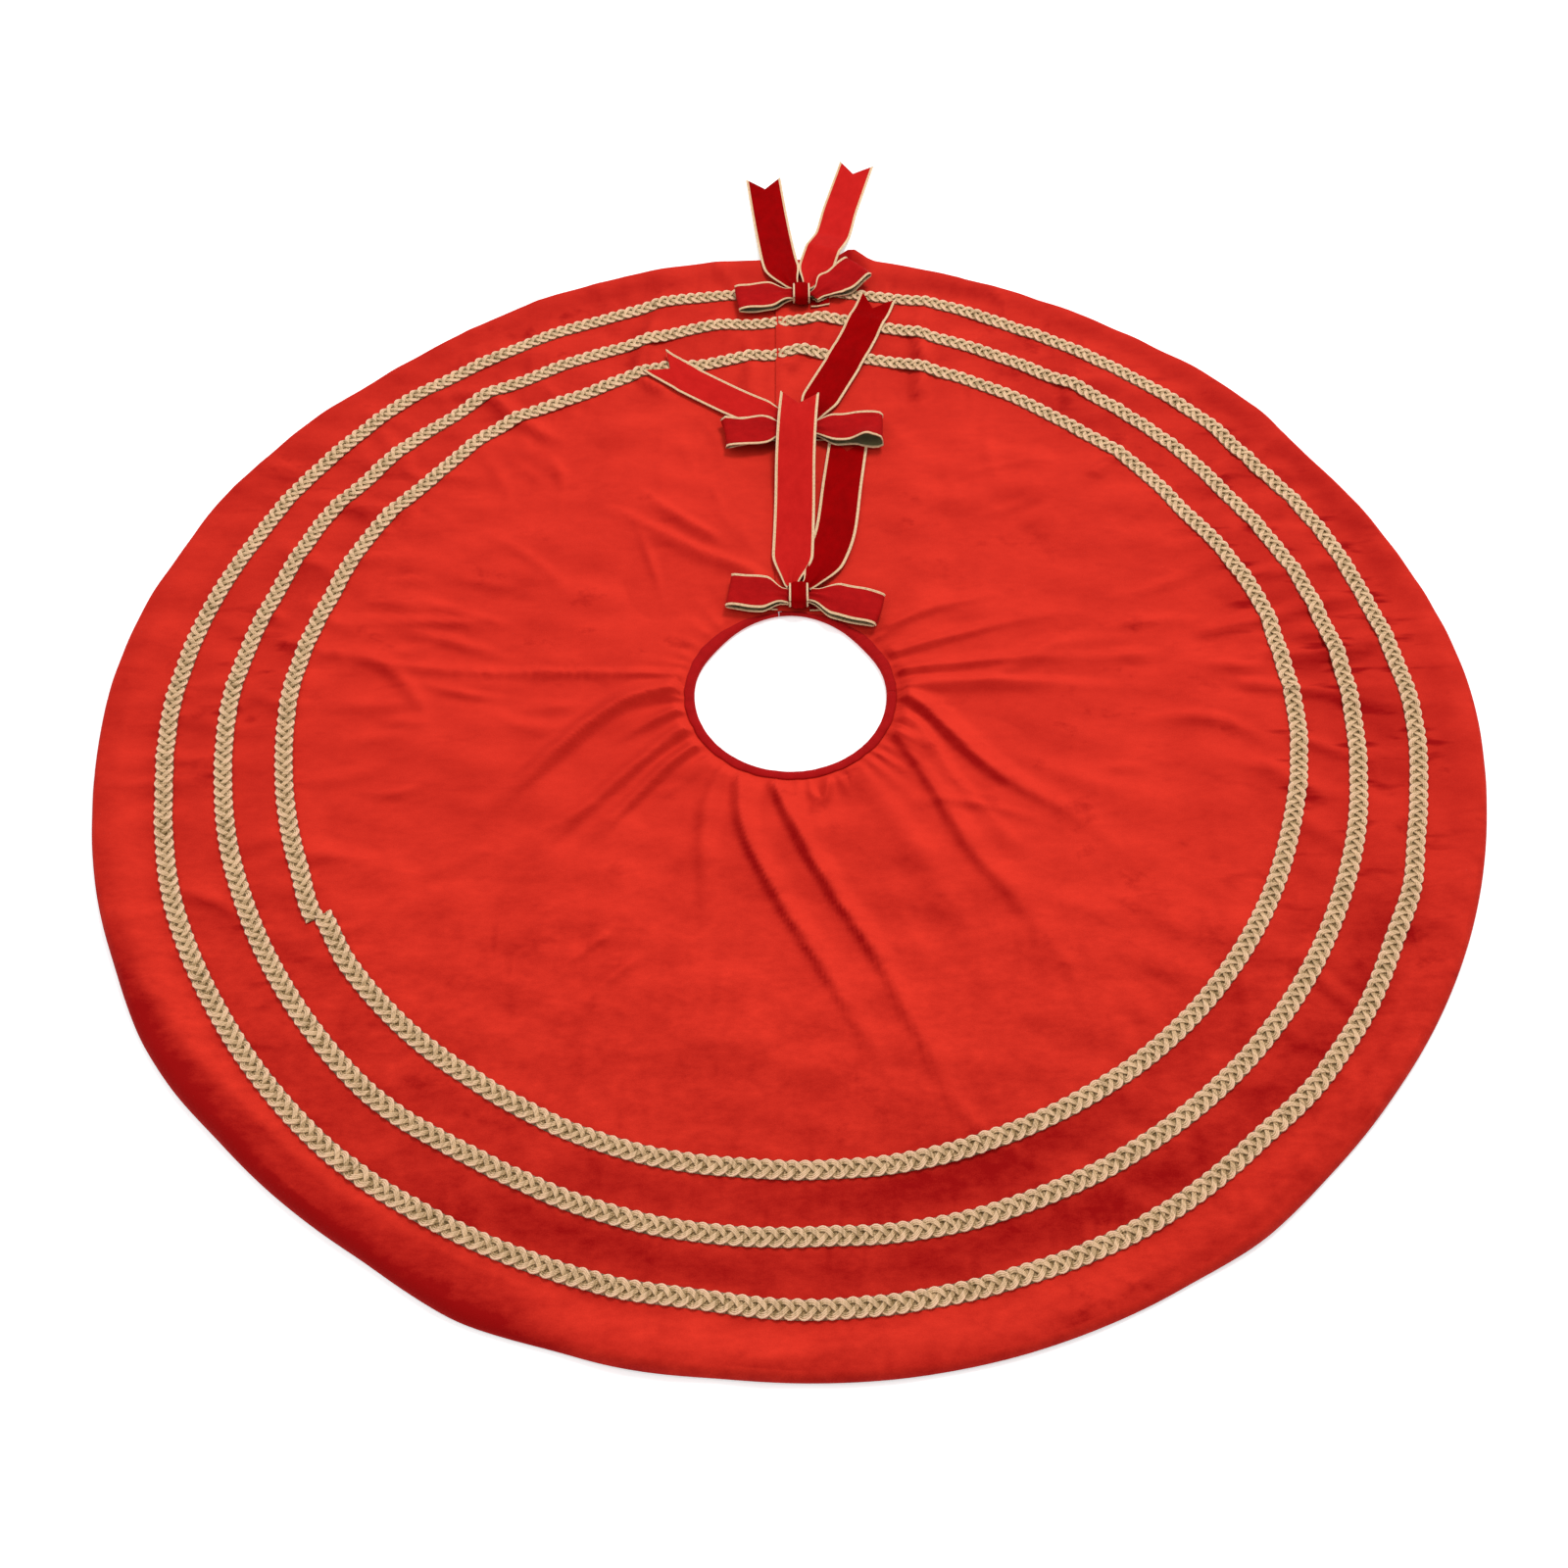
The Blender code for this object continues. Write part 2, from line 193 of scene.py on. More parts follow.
# Folds as (azimuth, radius) lines, each with its height, half-width and lean. A positive lean
# makes the side clockwise of the line the steep one.
FOLDS = [
    ([(92, .093), (97, .115), (108, .149), (116, .198), (119, .276), (122, .36)], .0085, .013, .5),
    ([(101, .095), (112, .125), (124, .17), (130, .235), (132, .30)], .0045, .012, -.4),
    ([(113, .095), (128, .150), (138, .227), (141, .316), (150, .42)], .0052, .013, .5),
    ([(150, .098), (147, .16), (149, .24), (152, .34), (155, .42)], .0030, .020, .0),
    ([(160, .096), (167, .120), (176, .098)], .0040, .006, .0),
    ([(190, .096), (180, .14), (172, .20), (166, .276), (163, .40), (162, .45)], .0070, .010, .6),
    ([(208, .098), (196, .15), (184, .208), (175, .28), (170, .36), (167, .43)], .0060, .010,
     .6),
    ([(216, .098), (209, .15), (199, .22), (192, .30)], .0036, .012, .4),
    ([(236, .095), (232, .14), (228, .20), (225, .26)], .0060, .008, -.5),
    ([(246, .095), (242, .13), (236, .19), (232, .26), (229, .31)], .0065, .010, -.5),
    ([(258, .095), (254, .13), (250, .17)], .0045, .007, -.4),
    ([(272, .094), (268, .135), (259, .18), (249, .235), (243, .29), (238, .35)], .0095, .012,
     -.5),
    ([(282, .095), (279, .14), (277, .20)], .0035, .007, .0),
    ([(278, .17), (275, .30), (276, .40), (279, .52), (280, .58)], .0030, .008, .4),
    ([(286, .30), (283, .38), (281, .45)], .0035, .009, .3),
    ([(352, .11), (346, .15), (333, .195), (324, .27), (318, .33)], .0050, .012, .4),
    ([(340, .20), (333, .25), (329, .31)], .0030, .010, .4),
    ([(64, .096), (66, .14), (68, .21), (70, .29)], .0040, .008, .4),
    ([(76, .096), (78, .15), (80, .22), (83, .33)], .0045, .009, .4),
    ([(84, .10), (86, .17), (88, .26), (90, .37)], .0040, .010, -.4),
    ([(48, .11), (54, .17), (60, .25)], .0030, .009, .4),
    ([(0, .425), (1.5, .452), (3.9, .505), (5.0, .555), (6.0, .600)], .0095, .011, .0),
    ([(19, .40), (18, .45), (16, .50), (15.5, .55), (15, .60)], .0070, .011, .0),
    ([(354, .39), (355, .45), (354, .49)], .0065, .010, .0),
    ([(342, .41), (340, .45), (343, .50), (346, .56), (347, .60)], .0055, .011, .0),
    ([(324, .40), (322, .45), (321, .50), (315, .55), (314, .59)], .0036, .012, .0),
    ([(302, .42), (299, .47), (298, .51), (296, .56)], .0035, .012, .0),
    ([(48, .40), (47, .45), (45, .49)], .0040, .010, .0),
    ([(37, .47), (36, .50), (35, .55)], .0035, .010, .0),
    ([(80, .38), (79, .45), (78, .52), (79, .59)], .0045, .007, .3),
    ([(84, .43), (85, .50), (83, .56), (84, .60)], .0040, .007, -.3),
    ([(89, .40), (90, .47), (92, .54), (91, .59)], .0040, .008, .3),
    ([(72, .44), (73, .50), (71, .57)], .0030, .007, .3),
    ([(96, .44), (98, .50), (96, .56)], .0030, .008, -.3),
    ([(66, .48), (64, .54), (65, .60)], .0035, .008, .3),
    ([(58, .50), (57, .55), (56, .60)], .0035, .008, -.3),
    ([(172, .575), (182, .59), (190, .583)], .0030, .008, .5),
    ([(120, .590), (140, .588), (160, .592), (172, .590)], .0035, .006, .5),
    ([(205, .30), (207, .34), (205, .37)], .0028, .006, .3),
    ([(211, .29), (213, .33), (212, .36)], .0028, .006, -.3),
]
FOLD_SCALE = (0.75, 0.72)              # of height and of width
HUMP = (6.6, 0.606, 0.0160, 0.015)     # azimuth, radius, height and width of the pinched rim
CREASE_COUNT = 230
FOLD_SAMPLES = 70                      # points along each long fold
BATCH = 20000                          # plan points measured against a fold at once


def crease_field():
    """Short soft creases, scattered by a seeded generator: each has a place, a direction that is
    mostly outwards from the hole, a length, a width, a height and a slight bend."""
    draw = np.random.default_rng(41)
    creases = []
    for _ in range(CREASE_COUNT):
        azimuth = draw.uniform(0.0, 360.0)
        radius = 0.12 + 0.47 * math.sqrt(draw.uniform(0.0, 1.0))
        side = abs(math.sin(math.radians(azimuth)))
        turned = draw.normal(0.0, 26.0 - 10.0 * side)
        length = draw.uniform(0.016, 0.050)
        width = draw.uniform(0.0045, 0.0085)
        height = draw.uniform(0.0006, 0.0019) * (0.55 + 0.75 * side ** 4)
        creases.append((azimuth, radius, turned, length, width, height, draw.normal(0.0, 3.0)))
    return creases


EASED = round_table({0: 0.5, 30: 0.7, 60: 1.0, 130: 1.0, 150: 0.6, 215: 0.6, 225: 1.0, 270: 1.0,
                     282: 0.4, 345: 0.3})       # how strongly the neck's pleats show, by azimuth


def gathers(azimuth, radius):
    """Small pleats where the cloth is eased into the neck binding: narrow ridges that run
    outwards and die away, at uneven spacings."""
    draw = np.random.default_rng(7)
    total = np.zeros(np.shape(radius))
    place = 8.0
    while place < 352.0:
        reach = draw.uniform(0.014, 0.052)
        width = draw.uniform(0.0022, 0.0042)
        height = draw.uniform(0.0012, 0.0030) * float(EASED(place))
        drift = draw.normal(0.0, 40.0)
        out = np.maximum(radius - BINDING_R, 0.0)
        apart = (azimuth - place - drift * out) * radius * math.pi / 180.0
        total += height * bell(apart, width + 0.10 * out) * np.exp(-out / reach)
        place += draw.uniform(5.0, 13.0)
    return total


def fold_heights(x, y):
    """The sum of the long folds. Each is a bell across a curve in the plan, steeper on the side
    it leans to, and rises and falls smoothly along the curve."""
    total = np.zeros(x.shape)
    for line, height, width, lean in FOLDS:
        line = np.array(line, float)
        height, width = height * FOLD_SCALE[0], width * FOLD_SCALE[1]
        path = curve_through(plan_point(line[:, 0], line[:, 1]), FOLD_SAMPLES)
        low, high = path.min(0) - 3.2 * width, path.max(0) + 3.2 * width
        near = (x > low[0]) & (x < high[0]) & (y > low[1]) & (y < high[1])
        if not near.any():
            continue
        points = np.stack([x[near], y[near]], axis=-1)
        ahead = unit(np.gradient(path, axis=0))
        gap = np.empty(len(points))
        side = np.empty(len(points))
        along = np.empty(len(points))
        for start in range(0, len(points), BATCH):
            batch = slice(start, start + BATCH)
            part = points[batch]
            between = part[:, None, :] - path[None]
            distance = (between ** 2).sum(-1)
            nearest = distance.argmin(1)
            here = between[np.arange(len(part)), nearest]
            tangent = ahead[nearest]
            side[batch] = here[:, 0] * tangent[:, 1] - here[:, 1] * tangent[:, 0]
            gap[batch] = np.sqrt(distance[np.arange(len(part)), nearest])
            along[batch] = nearest / (FOLD_SAMPLES - 1)
        breadth = width * (1.0 - 0.55 * lean * np.tanh(side / (0.4 * width)))
        ends = smooth(along / 0.12 + 0.35) * smooth((1.0 - along) / 0.70)
        total[near] += height * bell(gap, breadth) * ends
    return total


CREASES = crease_field()


def crease_heights(x, y):
    """The sum of the short creases: a bell across each and a wider one along it."""
    total = np.zeros(x.shape)
    for azimuth, radius, turned, length, width, height, bend in CREASES:
        place = plan_point(azimuth, radius)
        heading = math.radians(azimuth + turned)
        dx, dy = x - place[0], y - place[1]
        near = (np.abs(dx) < 2.6 * length) & (np.abs(dy) < 2.6 * length)
        along = dx[near] * math.sin(heading) + dy[near] * math.cos(heading)
        across = dx[near] * math.cos(heading) - dy[near] * math.sin(heading) + bend * along ** 2
        total[near] += height * bell(across, width) * bell(along, length)
    return total


def calm(x, y):
    """Less wrinkling where the bows hold the slit's edges: 1 away from them, 0.3 under them."""
    near_bows = bell(x - 0.006, 0.075) * smooth((y - 0.06) / 0.06)
    along_tail = bell(np.hypot(x + 0.08, (y - 0.40) * 1.4), 0.07)
    return 1.0 - 0.72 * np.clip(near_bows + along_tail, 0.0, 1.0)


def cloth_height(x, y):
    """Height of the velvet's upper face above the floor at plan points round the hole: its own
    thickness, long folds, pleats at the neck, short creases and a low swell, with the rim's
    rise and the pinched hump beside the hem bow."""
    azimuth, radius = polar(x, y)
    quiet = calm(x, y)
    swell = 0.0010 * waves(x, y, 0.17, 3) + 0.00045 * waves(x, y, 0.055, 5)
    height = quiet * (np.maximum(swell + 0.0012, 0.0) + crease_heights(x, y))
    height = height + quiet ** 0.5 * fold_heights(x, y) + gathers(azimuth, radius) * quiet
    near_rim = smooth((radius - (SKIRT_R - 0.045)) / 0.030)
    height = height + near_rim * RIM_RISE(azimuth) * 0.001 * (0.35 + 0.65 * quiet)
    peak = plan_point(HUMP[0], HUMP[1])
    height = height + HUMP[2] * bell(np.hypot(x - peak[0], (y - peak[1]) * 0.7), HUMP[3])
    edge = smooth(1.0 - (radius - BINDING_R) / 0.010)
    return VELVET_Z + height * (1.0 - 0.75 * edge)


def hole_edge(azimuth):
    """Radius of the trunk hole's edge: a circle, a little straighter on both sides of the neck
    bow, and pulled back under the bow's knot."""
    off = degrees_past(azimuth, 0.0)
    return HOLE_R * (1.0 - 0.022 * bell(np.abs(off) - 52.0, 17.0)) + 0.0072 * bell(off, 30.0)


def waver(azimuth, radius):
    """How far a point moves outwards, because the rim isn't a true circle."""
    return 0.001 * (RIM_WAVER(azimuth) * smooth((radius - 0.36) / 0.25)
                    + HEM_TRIM(azimuth) * smooth((radius - 0.572) / 0.028))


# Meshes

def make_piece(name, points, faces, finishes, uv=None, kinds=None, normals=None, fields=None):
    """A mesh object at the origin. Points are given round the trunk hole; faces are quads or
    triangles; uv and fields have one value for each point; kinds picks each face's finish."""
    points = np.asarray(points, np.float64) + CENTRE
    faces = np.asarray(faces, np.int64)
    sides = faces.shape[1]
    mesh = bpy.data.meshes.new(name)
    mesh.vertices.add(len(points))
    mesh.vertices.foreach_set("co", points.astype(np.float32).ravel())
    mesh.loops.add(faces.size)
    mesh.loops.foreach_set("vertex_index", faces.astype(np.int32).ravel())
    mesh.polygons.add(len(faces))
    mesh.polygons.foreach_set("loop_start", np.arange(0, faces.size, sides, dtype=np.int32))
    mesh.polygons.foreach_set("use_smooth", np.ones(len(faces), bool))
    for finish in finishes:
        mesh.materials.append(finish)
    if kinds is not None:
        mesh.polygons.foreach_set("material_index", np.asarray(kinds, np.int32))
    mesh.update(calc_edges=True)
    if uv is not None:
        layer = mesh.uv_layers.new(name="cloth")
        layer.uv.foreach_set("vector", np.asarray(uv, np.float32)[faces.ravel()].ravel())
    for field, values in (fields or {}).items():
        attribute = mesh.attributes.new(field, "FLOAT", "POINT")
        attribute.data.foreach_set("value", np.asarray(values, np.float32))
    mesh.validate()
    if normals is not None:
        mesh.normals_split_custom_set_from_vertices(np.asarray(normals, np.float32))
    piece = bpy.data.objects.new(name, mesh)
    bpy.context.scene.collection.objects.link(piece)
    return piece


def grid_faces(rows, columns, ring=False, start=0):
    """Quads over a grid of points numbered row by row, turning (row, column) anticlockwise. A
    ring joins its last column to its first."""
    r = np.arange(rows - 1)[:, None]
    c = np.arange(columns if ring else columns - 1)[None]
    after = (c + 1) % columns
    quads = np.stack([r * columns + c, r * columns + after,
                      (r + 1) * columns + after, (r + 1) * columns + c], axis=-1)
    return quads.reshape(-1, 4) + start


def grid_normals(points):
    """The unit normal at each point of a (rows, columns, 3) grid, from its two tangents."""
    return unit(np.cross(np.gradient(points, axis=1), np.gradient(points, axis=0)))


def shell(upper, normals, thickness):
    """A closed sheet: an upper grid, a lower grid at a thickness below it, and the border
    between them. Returns points, faces and normals."""
    rows, columns, _ = upper.shape
    count = rows * columns
    thickness = np.broadcast_to(thickness, (rows, columns))[..., None]
    lower = upper - normals * thickness
    points = np.concatenate([upper.reshape(-1, 3), lower.reshape(-1, 3)])
    top = grid_faces(rows, columns)
    index = np.arange(count).reshape(rows, columns)
    border = np.concatenate([index[0, :], index[1:, -1], index[-1, -2::-1], index[-2:0:-1, 0]])
    after = np.roll(border, -1)
    wall = np.stack([after, border, border + count, after + count], axis=-1)
    faces = np.concatenate([top, top[:, ::-1] + count, wall])
    both = np.concatenate([normals.reshape(-1, 3), -normals.reshape(-1, 3)])
    return points, faces, both


def split_at_fold(grid, flap_columns):
    """The flap's and the main part's share of a grid whose columns run clockwise from the
    slit. They share the column on the fold line."""
    return {"flap": grid[:, :flap_columns + 1], "main": grid[:, flap_columns:]}


def slit_azimuths(radius, flap_columns, main_columns, left_x, right_x, bunched=1.0):
    """Azimuths for every column at each radius: from the slit's right edge to the fold line at
    90 degrees, and on round to the slit's left edge. Both edges are straight lines. Bunched
    above 1 draws the flap's columns closer together near the fold."""
    radius = np.asarray(radius)[:, None]
    right = np.degrees(np.arcsin(right_x / radius))
    left = 360.0 + np.degrees(np.arcsin(left_x / radius))
    step = np.linspace(0.0, 1.0, flap_columns + 1)
    first = right + (90.0 - right) * (1.0 - (1.0 - step) ** bunched)
    second = 90.0 + (left - 90.0) * np.linspace(0.0, 1.0, main_columns + 1)[:, None].T
    return np.concatenate([first, second[:, 1:]], axis=1)


def layer_piece(name, part, normals, thickness, finish, fields=None):
    """A closed sheet from a share of a layer's grid, with its plan as cloth coordinates. A
    field has one value for each grid point, the same above and below."""
    points, faces, both = shell(part, normals, thickness)
    uv = np.tile(part[..., :2].reshape(-1, 2), (2, 1))
    fields = {key: np.tile(values.ravel(), 2) for key, values in (fields or {}).items()}
    return make_piece(name, points, faces, [finish], uv=uv, normals=both, fields=fields)


def bend_with_flap(piece):
    """Cloth that crosses the fold: its placement is baked into its points, and it is attached to
    no body.
    """
    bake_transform(piece)


def place_half(piece, half):
    """The flap's half of a layer has its placement baked into its points; the main half is
    attached to the skirt's body.
    """
    if half == "flap":
        bend_with_flap(piece)
    else:
        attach(piece, "skirt")


def sector_area(half, outer, inner):
    """Flat area of a quarter or of three quarters of a ring."""
    return math.pi * (outer ** 2 - inner ** 2) * (0.25 if half == "flap" else 0.75)


# Materials

class Wire:
    """A shader socket. Arithmetic on it adds Math nodes to its finish."""

    def __init__(self, finish, socket):
        self.finish = finish
        self.socket = socket

    def _math(self, operation, *values):
        return self.finish.node("ShaderNodeMath", {"operation": operation},
                                dict(enumerate(values)))

    def __add__(self, other):
        return self._math("ADD", self, other)

    def __sub__(self, other):
        return self._math("SUBTRACT", self, other)

    def __rsub__(self, other):
        return self._math("SUBTRACT", other, self)

    def __mul__(self, other):
        return self._math("MULTIPLY", self, other)

    def clamp(self):
        return self.finish.node("ShaderNodeClamp", {}, {"Value": self})

    __radd__ = __add__


class Finish:
    """A cloth finish: a Principled shader and the nodes that feed it."""

    def __init__(self, name):
        self.material = bpy.data.materials.new(name)
        self.material.use_nodes = True
        self.tree = self.material.node_tree
        self.shader = self.tree.nodes["Principled BSDF"]

    def connect(self, socket, value):
        """Link a wire to a socket, or set the socket's own value."""
        if isinstance(value, Wire):
            self.tree.links.new(value.socket, socket)
        elif isinstance(value, tuple) and len(value) == 3 and socket.type == "RGBA":
            socket.default_value = (*value, 1.0)
        else:
            socket.default_value = value

    def node(self, kind, settings, inputs, output=0):
        """Add a node of a kind, set it, feed its inputs, and give back one of its outputs."""
        node = self.tree.nodes.new(kind)
        for key, value in settings.items():
            setattr(node, key, value)
        for key, value in inputs.items():
            self.connect(node.inputs[key], value)
        return Wire(self, node.outputs[output])

    def cloth_uv(self):
        return self.node("ShaderNodeUVMap", {"uv_map": "cloth"}, {}, "UV")

    def field(self, name):
        return self.node("ShaderNodeAttribute", {"attribute_name": name}, {}, "Fac")

    def noise(self, scale, detail=2.0, roughness=0.5, vector=None, stretch=None):
        vector = vector or self.cloth_uv()
        if stretch:
            vector = self.node("ShaderNodeMapping", {}, {"Vector": vector, "Scale": stretch})
        return self.node("ShaderNodeTexNoise", {}, {"Vector": vector, "Scale": scale,
                                                    "Detail": detail, "Roughness": roughness})

    def stripes(self, scale, direction="X", distortion=0.0, vector=None):
        vector = vector or self.cloth_uv()
        return self.node("ShaderNodeTexWave", {"bands_direction": direction},
                         {"Vector": vector, "Scale": scale, "Distortion": distortion,
                          "Detail": 1.0, "Detail Scale": 1.5})

    def mix(self, factor, first, second):
        """One colour that fades into another as the factor goes from 0 to 1."""
        return self.node("ShaderNodeMix", {"data_type": "RGBA"},
                         {"Factor": factor, 6: first, 7: second}, 2)

    def bump(self, height, distance, strength=1.0):
        return self.node("ShaderNodeBump", {}, {"Height": height, "Distance": distance,
                                                "Strength": strength})

    def set(self, **values):
        for name, value in values.items():
            self.connect(self.shader.inputs[name.replace("_", " ")], value)
        return self.material


def velvet_finish(name, bright, dark, tint, nap=None, marks=0.32, sheen=0.24, gloss=0.08):
    """Short pile: soft patches and sharper marks where the pile is brushed, a fine pile grain,
    and sheen. Without a fixed pile tone, the piece's own fields say how bright the pile lies,
    partly its own tone and partly painted shade and painted light, where painted shade draws
    short pucker marks across it, sideways and lengthways, and how worn the pile is."""
    finish = Finish(name)
    pucker_shade, worn = 0.0, 1.0
    if nap is None:
        nap, worn = finish.field("nap"), finish.field("worn")
        sideways = finish.noise(64.0, detail=2.0, stretch=(0.27, 1.0, 1.0))
        lengthways = finish.noise(64.0, detail=2.0, stretch=(1.0, 0.27, 1.0))
        # Painted shade: dark marks for short puckers that the cloth's shape doesn't have.
        pucker_shade = (((sideways - 0.59) * 9.0).clamp() * finish.field("pucker_x")
                   + ((lengthways - 0.57) * 4.0).clamp() * finish.field("pucker_y"))
    patches = finish.noise(9.0, detail=3.0) - 0.5
    brushed = finish.noise(42.0, detail=4.0, roughness=0.6, stretch=(0.6, 1.0, 1.0)) - 0.5
    smudges = finish.noise(30.0, detail=5.0, roughness=0.62, stretch=(0.75, 1.0, 1.0))
    where = finish.noise(5.0, detail=1.0)
    touched = ((smudges - 0.585) * 9.0).clamp() * ((where - 0.44) * 6.0).clamp()
    mottled = finish.noise(130.0, detail=3.0, roughness=0.65, stretch=(0.6, 1.0, 1.0)) - 0.5
    grain = finish.noise(900.0, detail=2.0)
    pile = finish.noise(2600.0, detail=1.0)
    shade = patches * 0.24 + (brushed * 0.56 + mottled * 0.56) * worn - touched * marks
    shade = shade + (grain - 0.5) * 0.30 + nap - pucker_shade
    relief = grain * 0.6 + pile * 0.4
    return finish.set(
        Base_Color=finish.mix(shade.clamp(), dark, bright),
        Roughness=0.86 - grain * 0.10,
        Sheen_Weight=sheen, Sheen_Roughness=0.40, Sheen_Tint=(*tint, 1.0),
        Specular_IOR_Level=gloss,
        Normal=finish.bump(relief, 0.0006, 0.55))


def woven_finish(name, light, dark, pitch, roughness=0.7, metallic=0.0, relief=0.0002):
    """Plain weave: two crossing sets of ribs at a pitch in metres, with uneven threads."""
    finish = Finish(name)
    scale = 1.0 / pitch
    along = finish.stripes(scale, "X", 0.6)
    across = finish.stripes(scale, "Y", 0.6)
    slub = finish.noise(160.0, detail=3.0, stretch=(1.0, 0.2, 1.0))
    weave = along * across
    shade = (weave * 0.7 + slub * 0.6 - 0.1).clamp()
    return finish.set(
        Base_Color=finish.mix(shade, dark, light),
        Roughness=roughness + slub * 0.12,
        Metallic=metallic,
        Sheen_Weight=0.15, Sheen_Roughness=0.4,
        Normal=finish.bump(along + across, relief, 0.7))


def yarn_finish(name, light, middle, dark, pitch, metallic):
    """Twisted yarn: slanting plies along each cord, with painted shade in their grooves. A field
    on the piece paints shade where the cords cross low and a highlight on their tops and along the
    braid's edges, where the yarn is also paler of its own."""
    finish = Finish(name)
    uv = finish.cloth_uv()
    plies = finish.stripes(1.0 / pitch, "DIAGONAL", 0.3, vector=uv)
    fluff = finish.noise(700.0, detail=2.0, vector=uv)
    uneven = finish.noise(30.0, detail=2.0, vector=uv)
    specks = finish.noise(400.0, detail=2.0, vector=uv) - 0.5
    # The field paints shade where it is low and a highlight where it is high.
    crown = finish.field("crown")
    body = crown * 0.9 + plies * 0.40 + uneven * 0.35 + specks * 2.4 - 0.33
    body = finish.mix(body.clamp(), dark, middle)
    bright = crown * crown * 0.95 + fluff * 0.3 + specks * 1.3 - 0.25
    colour = finish.mix(bright.clamp(), body, light)
    return finish.set(
        Base_Color=colour,
        Roughness=0.52 + fluff * 0.2,
        Metallic=metallic,
        Sheen_Weight=0.25, Sheen_Roughness=0.35,
        Normal=finish.bump(plies * 0.8 + fluff * 0.3, 0.0003, 0.8))


def plain_floor_finish():
    """A pale floor with a barely visible mottle."""
    finish = Finish("pale_floor")
    place = finish.node("ShaderNodeTexCoord", {}, {}, "Object")
    mottle = finish.noise(3.0, vector=place)
    return finish.set(Base_Color=finish.mix(mottle, (0.90, 0.90, 0.90), (0.93, 0.93, 0.93)),
                      Roughness=0.9, Specular_IOR_Level=0.1,
                      Emission_Color=(1.0, 1.0, 1.0), Emission_Strength=0.38)


FINISHES = {
    "velvet": velvet_finish("red_velvet", (0.74, 0.033, 0.016), (0.31, 0.001, 0.001),
                            (1.0, 0.10, 0.05)),
    "lining": woven_finish("lining_weave", (0.30, 0.012, 0.012), (0.12, 0.004, 0.005), 0.0011),
    "binding": velvet_finish("binding_velvet", (0.50, 0.006, 0.007), (0.22, 0.001, 0.001),
                             (1.0, 0.1, 0.1), nap=0.52, marks=0.1, sheen=0.15),
    # For the braid and the gold edge, a field paints a highlight towards the light colour and
    # shade towards the dark colour; the light colour is partly the yarn's own paler peach.
    "braid": yarn_finish("gimp_yarn", (1.00, 0.66, 0.43), (0.82, 0.54, 0.26),
                         (0.20, 0.11, 0.02), 0.0018, 0.03),
    # The three ribbon finishes are copies of one velvet ribbon: a lighter copy with painted light
    # for tails in the light, and darker copies with painted shade for the loops, the knots, the
    # roots and the tails in shade.
    "ribbon_bright": velvet_finish("ribbon_bright", (0.60, 0.014, 0.011), (0.34, 0.002, 0.002),
                                   (1.0, 0.10, 0.08), nap=0.62, marks=0.15, sheen=0.12,
                                   gloss=0.05),
    "ribbon_loop": velvet_finish("ribbon_loop", (0.56, 0.008, 0.008), (0.20, 0.000, 0.001),
                                 (1.0, 0.10, 0.08), nap=0.48, marks=0.50, sheen=0.10,
                                 gloss=0.05),
    "ribbon_dark": velvet_finish("ribbon_dark", (0.38, 0.000, 0.001), (0.14, 0.000, 0.000),
                                 (1.0, 0.05, 0.05), nap=0.50, marks=0.2, sheen=0.05,
                                 gloss=0.02),
    "edge": yarn_finish("gold_edge", (0.95, 0.68, 0.42), (0.85, 0.54, 0.28),
                        (0.42, 0.25, 0.09), 0.0012, 0.15),
    "back": woven_finish("gold_back", (0.40, 0.34, 0.12), (0.12, 0.10, 0.02), 0.0009,
                         roughness=0.45, metallic=0.35),
}


# The velvet top

FLAP_COLUMNS = 134
MAIN_COLUMNS = 398
FLAT_ROWS = 109
ROLL_ROWS = 9
ROLL_INSET = 0.012         # how far inside the rim the flat rows end
TUCK = 0.0022              # how far the velvet stops short of the hole, under the binding
EDGE_BACK = 0.001          # how far left of SLIT_X the slit's left edge and the braids' ends lie

PAINTED_LIGHT_AND_SHADE_PATCHES = [
    # azimuth, spread in degrees, radius, spread in metres, change: painted shade where it is
    # negative, painted light where it is positive
    (166, 12, .476, .016, -.34), (158, 26, .530, .016, -.36), (200, 22, .530, .016, -.20),
    (176, 40, .476, .020, -.12), (150, 40, .578, .012, .14), (128, 14, .545, .018, -.20),
    (222, 24, .570, .009, .12), (196, 26, .400, .040, -.12), (158, 18, .420, .030, -.14),
    (88, 22, .500, .060, -.12), (255, 30, .530, .050, .06), (120, 20, .300, .050, .06),
    (330, 30, .300, .100, .05), (30, 25, .280, .120, .05), (212, 30, .240, .060, .05),
    (140, 14, .470, .020, -.10), (182, 22, .588, .016, .15), (60, 34, .470, .090, -.06),
    (132, 16, .570, .030, -.10), (224, 20, .540, .030, -.05),
]


